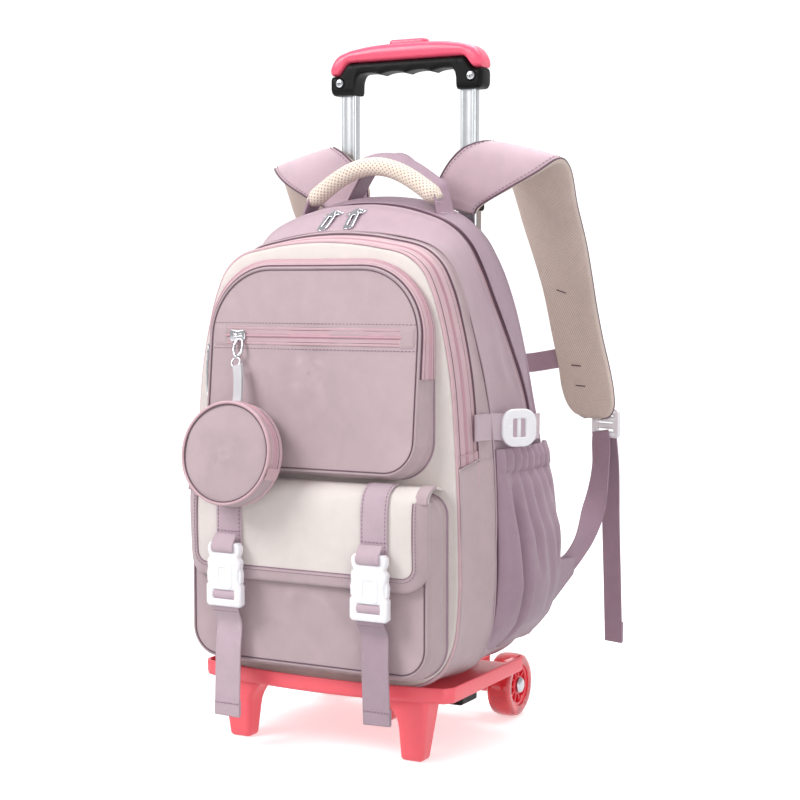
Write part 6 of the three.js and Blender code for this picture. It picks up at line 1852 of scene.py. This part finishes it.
# %% Button
low, high = box_mm("grip_button")
xs = np.concatenate([[-19.98, -19.6, -18.6, -17], np.linspace(-15, 15, 12), [17, 18.6, 19.6, 19.98]])
button = lofted(
    "grip_button_cap", xs, lambda _: low[2], lambda x: high[2] - end_round(x, 20, 3) * 0.8, lambda x: 11
    - end_round(x, 20, 4), "shell", "button", 2.5, "grip_shell")
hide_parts("grip_button")
print("button from", low[2].round(1), "to", high[2].round(1))

# %% [markdown]
# The tray is one moulding: a floor and a low rim round the bag's foot, a bowed lip in front, two
# splayed front legs, and a rear block with the tube sockets and the axle arms.

# %% Tray
TRAY_HALF, TRAY_FRONT, TRAY_BOW, TRAY_REAR = 131.0, -149.0, 16.0, 4.0
TRAY_FLOOR, RIM_TOP = 54.7, 69.0


def tray_edge(inset, count=200):
    """Outline of the tray (x, y), from the rear left round the front to the rear right"""
    half = TRAY_HALF - inset
    xs = np.linspace(-half + 6, half - 6, 60)
    front = [(x, TRAY_FRONT + inset - TRAY_BOW * (1 - (x / half) ** 2)) for x in xs]
    points = [(-half, TRAY_REAR)] + [(-half, TRAY_FRONT + inset + 6)] + front + [
        (half, TRAY_FRONT + inset + 6), (half, TRAY_REAR)]
    return even_steps(np.array(points), count)


def tray_shell():
    """The rim, the outer wall and the edge of the floor as one section carried round"""
    profile = [
        (11, TRAY_FLOOR + 7), (3.4, TRAY_FLOOR + 7), (3.0, TRAY_FLOOR + 8), (2.8, RIM_TOP - 1.2),
        (2.0, RIM_TOP - 0.2), (1.2, RIM_TOP), (0.4, RIM_TOP - 0.4), (0.0, RIM_TOP - 1.4),
        (0.0, TRAY_FLOOR + 4), (0.5, TRAY_FLOOR + 1.2), (1.6, TRAY_FLOOR + 0.2), (3.0, TRAY_FLOOR),
        (11, TRAY_FLOOR)]
    edges = [tray_edge(inset) for inset, _ in profile]
    grid = np.stack(
        [np.column_stack([edge, np.full(len(edge), z)]) for edge, (_, z) in zip(edges, profile)], 1)
    piece = grid_piece("tray_rim", grid, "coral", loop_columns=True, caps=True, slot="tray")
    tidy_normals(piece)
    return soften(piece, 50)


rim = tray_shell()
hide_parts("base_tray")


# %% Legs, arms and blocks of the tray
def tapered_block(name, rings, material, radius=3.0, body="bag"):
    """A block through rectangles (x0, x1, y0, y1, z, inset) with rounded corners"""
    rows = []
    for x0, x1, y0, y1, z, inset in rings:
        corners = rounded_box(x0 + inset, x1 - inset, y0 + inset, y1 - inset, max(0.5, radius - inset), 6)
        ring = even_steps(np.array(corners), 48, closed=True)
        rows.append([(a, b, z) for a, b in ring])
    piece = grid_piece(name, np.array(rows), material, loop_columns=True, caps=True, body=body)
    tidy_normals(piece)
    return soften(piece, 45)


def straight_block(name, across, deep, heights, material, radius=3.0):
    """A block with upright sides; heights are (z, inset)"""
    tapered_block(name, [(*across, *deep, z, inset) for z, inset in heights], material, radius)


straight_block(
    "tray_floor", (-129, 129), (-146, 3), [(TRAY_FLOOR + 0.2, 1), (TRAY_FLOOR + 0.8, 0),
    (TRAY_FLOOR + 6.4, 0), (TRAY_FLOOR + 6.9, 1)], "coral")
for side, name in SIDES:
    foot = side * 91.0
    rings = []
    for t in (0, 0.015, 0.04, 0.12, 0.25, 0.4, 0.5, 0.6, 0.68, 0.76, 0.84, 0.92, 1.0):
        z = t * (TRAY_FLOOR + 2)
        arch = max(0.0, (t - 0.5) / 0.5)
        outer, inner = foot + side * (11 + 7 * t), foot - side * (
            11 + 3 * t + 26 * (1 - math.sqrt(1 - arch ** 2)))
        rings.append((min(outer, inner), max(outer, inner), TRAY_FRONT - 4 * t, TRAY_FRONT + 18 + 8 * t, z,
                      {0: 1.6, 0.015: 0.7}.get(t, 0)))  # the foot's lower edge is rounded
    tapered_block(f"tray_leg_{name}", rings, "coral", 4.0)
    arm_in, arm_out = 69.9, 86.0
    x0, x1 = sorted((side * arm_in, side * arm_out))
    rings = [
        (x0, x1, 32.3 - 28 * t, 52.3 - 22.4 * t, 31 + t * (TRAY_FLOOR - 31), 0) for t in np.linspace(0, 1,
        10)]
    tapered_block(f"axle_arm_{name}", rings, "coral", 2.5)
    boss = [((arm_in + (arm_out - arm_in) * t) * side, 42.3, 31) for t in (0, 0.06, 0.94, 1)]
    soften(
        sweep(f"axle_boss_{name}", boss, oval(10, 10, 36), (0, 1, 0), "coral", wide=[0.93, 1, 1, 0.93],
        high=[0.93, 1, 1, 0.93]))
straight_block(
    "tray_rear_block", (-86, 86), (-10, 29.9), [(37.5, 1), (38.3, 0), (61, 0), (61.7, 1)], "coral")
straight_block("tray_underside_rib", (1, 26), (-72, -47), [(8, 3), (11, 0), (55, 0)], "hub", 4.0)
straight_block("tray_strap_end", (110, 125), (-116, -82), [(46.5, 1), (47.5, 0), (54.5, 0)], "black", 2.5)
print("tray", 2 * TRAY_HALF, "mm wide")

# %% [markdown]
# A wheel turns about X: a clear red tyre on a red hub with openings between its spokes, and a grey
# cap over the axle's end. Lathed sections give the tyre and the hub; the spokes are cut.

# %% Wheels
AXLE_Y, AXLE_Z, WHEEL_X = 42.3, 31.0, 100.0


def lathe(name, profile, centre, material, body, sides=96, slot=None):
    """Turns a closed profile of (radius, x) about the wheel's axis"""
    profile = np.array(profile, float)
    angles = np.arange(sides) / sides * math.tau
    grid = np.stack(
        [np.stack([centre[0] + profile[:, 1], centre[1] + profile[:, 0] * math.cos(a),
        centre[2] + profile[:, 0] * math.sin(a)], 1) for a in angles])
    piece = grid_piece(name, grid, material, loop_rows=True, loop_columns=True, body=body, slot=slot)
    tidy_normals(piece)
    return soften(piece, 35)


# %% Both wheels
for side, name in SIDES:
    body = f"wheel_{name}"
    centre = np.array([side * WHEEL_X, AXLE_Y, AXLE_Z])
    tread = [
        (20.3, -11.2), (24, -11.8), (27.5, -11.6), (29.6, -10.0), (30.7, -6.5), (31.0, 0), (30.7, 6.5),
        (29.6, 10.0), (27.5, 11.6), (24, 11.8), (20.3, 11.2)]
    tyre = lathe(f"tyre_ring_{name}", tread, centre, "tyre", body, 128, "tyre")
    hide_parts(f"tyre_{name}")
    ring = [(17.4, -9.5), (19.9, -9.9), (19.9, 9.9), (17.4, 9.5), (16.6, 8.0), (16.6, -8.0)]
    hub = lathe(f"hub_ring_{name}", ring, centre, "hub", body, 96, "hub")
    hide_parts(f"hub_{name}")
    core = [(4.2, -9.8), (8.4, -9.8), (9.6, -8.6), (9.6, 8.6), (8.4, 9.8), (4.2, 9.8)]
    lathe(f"hub_core_{name}", core, centre, "hub", body, 64)
    web = [(9.0, -1.5), (17.2, -1.5), (17.2, 1.5), (9.0, 1.5)]
    lathe(f"hub_web_{name}", web, centre, "hub", body, 64)
    for k in range(10):
        a = k / 10 * math.tau
        way = np.array([0, math.cos(a), math.sin(a)])
        path = [centre + way * r for r in (8.8, 11, 14, 17.4)]
        rib = sweep(
            f"hub_spoke_{name}_{k}", path, np.array(rounded_box(-1.1, 1.1, -8.6, 8.6, 0.8, 4)),
            np.cross(way, (1, 0, 0)), "hub", body=body, wide=[1.2, 1, 1, 1.3])
        soften(rib)
    cap = [(0.05, 0), (7.2, 0), (7.5, 0.5), (7.5, 2.0), (6.6, 3.2), (4.5, 3.9), (2, 4.1), (0.05, 4.1)]
    cap = [(r, side * (14.3 - 4.1 - 0.3 + x)) for r, x in cap]
    lathe(f"axle_cap_{name}", cap, centre, "screw", "bag", 48)
    print("wheel", name, "at", centre)

# %% Axle
rod = [(x, AXLE_Y, AXLE_Z) for x in (-111, -110, 110, 111)]
grow = [0.85, 1, 1, 0.85]
axle = sweep("axle_rod", rod, oval(3.9, 3.9, 24), (0, 1, 0), "screw", wide=grow, high=grow, slot="axle")
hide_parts("axle")
print("axle", rod[-1][0] - rod[0][0], "mm long")

# %% [markdown]
# A round coin pouch hangs from the level zip's slider. It has two faces joined by a gusset: zip
# over the top, cloth below. A ribbon loop at its top is held by a small metal clip.

# %% Coin pouch
POUCH_THICK, POUCH_LEAN = 25.0, 0.16
POUCH_STEPS = 160
POUCH_AT = np.array([-63.0, -201.0, 272.0])
POUCH_UP = np.array([0, math.sin(POUCH_LEAN), math.cos(POUCH_LEAN)])
POUCH_OUT = np.array([0, -math.cos(POUCH_LEAN), math.sin(POUCH_LEAN)])


def pouch_point(radius, angle, out):
    """radius and angle round the pouch's axis, angle 0 at its right; out is towards the viewer"""
    return (
        POUCH_AT + np.array([1.0, 0, 0]) * (radius * np.cos(angle))[..., None]
        + POUCH_UP * (radius * np.sin(angle))[..., None] + POUCH_OUT * np.asarray(out + 0 * radius)[...,
        None])


# %% Faces of the pouch
angles = np.linspace(0, math.tau, POUCH_STEPS, endpoint=False)
radii = np.concatenate([np.linspace(0.4, 40, 26), [42, 43.5, 44.6, 45.3]])
for sign, label in ((1, "front"), (-1, "back")):
    out = sign * (POUCH_THICK / 2 - 2.5 + 3.2 * (1 - (radii / 46) ** 4) - 0.8)
    grid = pouch_point(
        radii[None] + 0 * angles[:, None], angles[:, None] + 0 * radii[None], out[None] + 0 * angles[:,
        None])
    grid = grid + POUCH_OUT * (0.7 * sign * uneven(grid, 24, 90.0))[..., None]
    face = grid_piece(f"pouch_face_{label}", grid, "mauve", loop_rows=True, slot="bag_cloth")
    if label == "front":
        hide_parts("coin_pouch")
    rim_line = pouch_point(np.full(POUCH_STEPS, 45.4), angles, sign * (POUCH_THICK / 2 - 2.4))
    sweep(f"pouch_seam_{label}", rim_line, oval(1.5, 1.5, 8), tuple(POUCH_OUT), "piping", closed=True)
    # a dark cord just inside each seam: painted shadow
    shadow = pouch_point(np.full(POUCH_STEPS, 43.6), angles, sign * (POUCH_THICK / 2 - 1.9))
    sweep(f"pouch_seam_shadow_{label}", shadow, oval(0.7, 0.5, 6), tuple(POUCH_OUT), "dark", closed=True)
print("pouch faces at", POUCH_AT)

# %% Zip, gusset and tabs of the pouch
rows = [(10.2 * (2 * share - 1), lift) for share, lift, _ in ZIP_PROFILE]
top = np.linspace(-0.35, math.pi + 0.35, 120)
grid = np.stack([pouch_point(45.6 + lift + 0 * top, top, out + 0 * top) for out, lift in rows], 1)
zip_piece("pouch_zip", grid)
foot = np.linspace(math.pi + 0.33, math.tau - 0.33, 90)
shares = np.linspace(-1, 1, 13)
grid = np.stack(
    [pouch_point(45.2 + 1.8 * (1 - share ** 2) + 0 * foot, foot, 10.2 * share + 0 * foot)
    for share in shares], 1)
grid_piece("pouch_gusset", grid, "mauve")
for end in (-0.35, math.pi + 0.35):
    arc = np.linspace(end - 0.12, end + 0.12, 10)
    grid = np.stack([pouch_point(47.6 + 0 * arc, arc, 9.6 * share + 0 * arc) for share in shares], 1)
    grid_piece(f"pouch_tab_{int(end)}", grid, "piping")
print("pouch zip", len(top), "steps")

# %% Ribbon
middle = middle_mm("pouch_ribbon")
ribbon_path = [
    POUCH_AT + POUCH_UP * 45.5, POUCH_AT + POUCH_UP * 50 + (-1, 3, 0), middle + (0, 2, 8),
    middle + (-3, 5, 17)]
ribbon = strap("pouch_ribbon_loop", ribbon_path, 9, (1, 0, 0), "ribbon", thick=0.9, count=40)
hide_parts("pouch_ribbon")
strap(
    "pouch_ribbon_back", [p + (0.4, 1.6, 0) for p in ribbon_path], 9, (1, 0, 0), "ribbon", thick=0.9,
    count=40)
print("ribbon from", ribbon_path[0].round(1), "to", ribbon_path[-1].round(1))

# %% [markdown]
# The clip and the zip pulls are cast metal, plated bright. A pull hangs on its slider's bridge and
# swings; each pull here is its own body, and its slider stays with the bag.

# %% Clip
low, high = box_mm("pouch_clip")
top = np.array([high[0] - 6, high[1] - 1.5, high[2]])
clip_way = unit(np.array([low[0] + 8 - top[0] + 4, low[1] - high[1] + 3, low[2] - high[2]]))
clip_side = unit(np.cross(clip_way, (0, -1, 0)))
clip_out = np.cross(clip_side, clip_way)
middle = (low + high) / 2
angles = np.linspace(0, math.tau, 60, endpoint=False)
hook = np.stack([np.cos(angles) * 4.6, np.sin(angles) * 8.5 + 4], 1)
path = middle + clip_side * hook[:, :1] + clip_way * -hook[:, 1:]
clip = sweep(
    "clip_hook", path, oval(1.3, 1.3, 10), tuple(clip_out), "chrome", closed=True, slot="zip_metal")
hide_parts("pouch_clip")
ring = np.stack([np.cos(angles) * 4.4, np.sin(angles) * 4.4], 1)
ring_centre = middle + clip_way * 10.5
sweep(
    "clip_ring", ring_centre + clip_side * ring[:, :1] + clip_way * ring[:, 1:], oval(0.9, 0.9, 8),
    tuple(clip_out), "chrome", closed=True)
swivel = [middle + clip_way * t for t in (3.6, 5.0, 6.5, 7.5)]
soften(
    sweep("clip_swivel", swivel, oval(2.4, 2.4, 16), tuple(clip_side), "chrome", wide=[0.8, 1, 1, 0.8],
    high=[0.8, 1, 1, 0.8]))


# %% Pulls and sliders
def zip_pull(name, top, way, out, long, wide, body):
    """A flat pull with an open end, hanging from its slider; it has its node's name"""
    way, out = unit(way), unit(out)
    out = unit(out - way * (out @ way))
    side = np.cross(way, out)
    outline = [(-1.6, 0.4), (1.6, 0.4), (2.2, 5), (wide / 2, 9), (wide / 2, long - 4)]
    outline += [
        (wide / 2 * math.cos(a), long - 4 + 4 * math.sin(a)) for a in np.linspace(0.2, math.pi - 0.2, 8)]
    outline += [(-wide / 2, long - 4), (-wide / 2, 9), (-2.2, 5)]
    inner = [(a * 0.46, 9.5 + (b - 9) * 0.80) for a, b in outline[3:-1] if b >= 8.9]
    piece = plate(
        f"{name}_plate", [(a, -b) for a, b in outline][::-1], [[(a, -b) for a, b in inner][::-1]], 2.3, 0.7,
        "chrome", (side, -way, out), top, body=body, slot="zip_metal")
    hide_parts(name)


def zip_slider(name, centre, along, out, size=1.0, rise=3.4):
    """The slider's body: a waisted shell with a bridge over it"""
    along, out = unit(along), unit(out)
    side = np.cross(along, out)
    outline = [
        (-5.2, -6.5), (-3.6, 0), (-4.6, 6), (-2.5, 7.8), (2.5, 7.8), (4.6, 6), (3.6, 0), (5.2, -6.5),
        (3, -8), (-3, -8)]
    outline = [(a * size, b * size) for a, b in outline]
    plate(f"{name}_slider", outline[::-1], [], 2.6 * size, 0.9 * size, "chrome", (side, along, out), centre)
    arch = [
        centre + along * (t * 5.5 * size) + out * ((1 - t * t) * rise + 0.4) * size for t in np.linspace(-1,
        1, 14)]
    sweep(f"{name}_bridge", arch, oval(1.7 * size, 0.8 * size, 8), tuple(side), "chrome")


# %% The five sliders
for node, body, x in (
        ("top_pull_left", "pull_top_left", -24.2), ("top_pull_right", "pull_top_right", -0.2)):
    low, high = box_mm(node)
    top = np.array([x, high[1] - 0.6, high[2] - 0.8])
    tip = np.array(
        [(low[0] + high[0]) / 2 + (0 if node.endswith("left") else 2), low[1] + 0.6, low[2] + 0.8])
    zip_pull(node, top, tip - top, (0, -0.55, 0.83), 33, 8.4, body)
    up = unit((0, -0.35, 0.94))
    zip_slider(node, top - up * 2.8, (1, 0, 0.1), up, 1.15, 2.0)
for node, body in (("side_pull", "pull_side"), ("low_pull", "pull_low")):
    low, high = box_mm(node)
    top = np.array([(low[0] + high[0]) / 2, (low[1] + high[1]) / 2, high[2]])
    zip_pull(node, top, (0, 0, -1), (-1, 0, 0), high[2] - low[2], 7.0, body)
    zip_slider(node, top + (1.6, 0, 1.5), (0, 0, 1), (-1, 0, 0), 0.9)
level_slider = np.array([-77.0, upper_face(-77.0, LEVEL_Z) - 2.6, LEVEL_Z])
zip_slider("level_zip", level_slider, (1, 0, 0), (0, -1, 0), 0.95)
print("level zip's slider at", level_slider.round(1))

# %% [markdown]
# Light: a pale floor that runs up behind, a large soft key from the front left, a fill from the
# right, and a wide one above and behind. The floor's own glow makes it white in the picture. It
# doesn't light the bag from below, because the photograph's floor is only paper-white.

# %% Backdrop
def backdrop():
    """A pale floor that curves up into a pale wall behind"""
    ys = [-3.0, -1.0, 1.5, 2.6, 3.2, 3.6, 3.8, 3.8]
    zs = [0.0, 0.0, 0.0, 0.06, 0.3, 0.8, 1.6, 5.0]
    mesh = bpy.data.meshes.new("backdrop")
    points = [(x, y, z - 0.0006) for y, z in zip(ys, zs) for x in (-5.0, 5.0)]
    turn = Matrix.Rotation(YAW, 4, "Z")
    mesh.from_pydata(
        [turn @ Vector(p) for p in points], [], [(2 * k, 2 * k + 1, 2 * k + 3, 2 * k + 2)
        for k in range(7)])
    mesh.polygons.foreach_set("use_smooth", [True] * 7)
    made, _, shader = start_material("pale backdrop", 0.9)
    shader.inputs["Base Color"].default_value = (0.9, 0.9, 0.9, 1)
    shader.inputs["Emission Color"].default_value = (1, 1, 1, 1)
    shader.inputs["Emission Strength"].default_value = 0.5
    mesh.materials.append(made)
    floor = link(bpy.data.objects.new("backdrop", mesh))
    floor.visible_diffuse = False


# %% Lights
def area_light(name, place_at, aim, size, power):
    """A white rectangle of light, aimed at a point; metres and watts"""
    light = bpy.data.lights.new(name, "AREA")
    light.shape = "RECTANGLE"
    light.size, light.size_y = size
    light.energy = power
    lamp = link(bpy.data.objects.new(name, light))
    lamp.location = place_at
    lamp.rotation_euler = (Vector(aim) - Vector(place_at)).to_track_quat("-Z", "Y").to_euler()


backdrop()
area_light("key", (-0.95, -1.3, 1.45), (0, 0, 0.35), (0.9, 0.9), 26)
area_light("fill", (1.6, -1.3, 0.5), (0, 0, 0.2), (1.2, 0.9), 10)
area_light("top", (0.2, 0.4, 1.8), (0, 0, 0.3), (1.4, 0.9), 22)
world = bpy.data.worlds.new("room")
bpy.context.scene.world = world
world.use_nodes = True
background = world.node_tree.nodes["Background"]
background.inputs["Color"].default_value = (1, 1, 1, 1)
background.inputs["Strength"].default_value = 0.62
print("lights", len(bpy.data.lights))
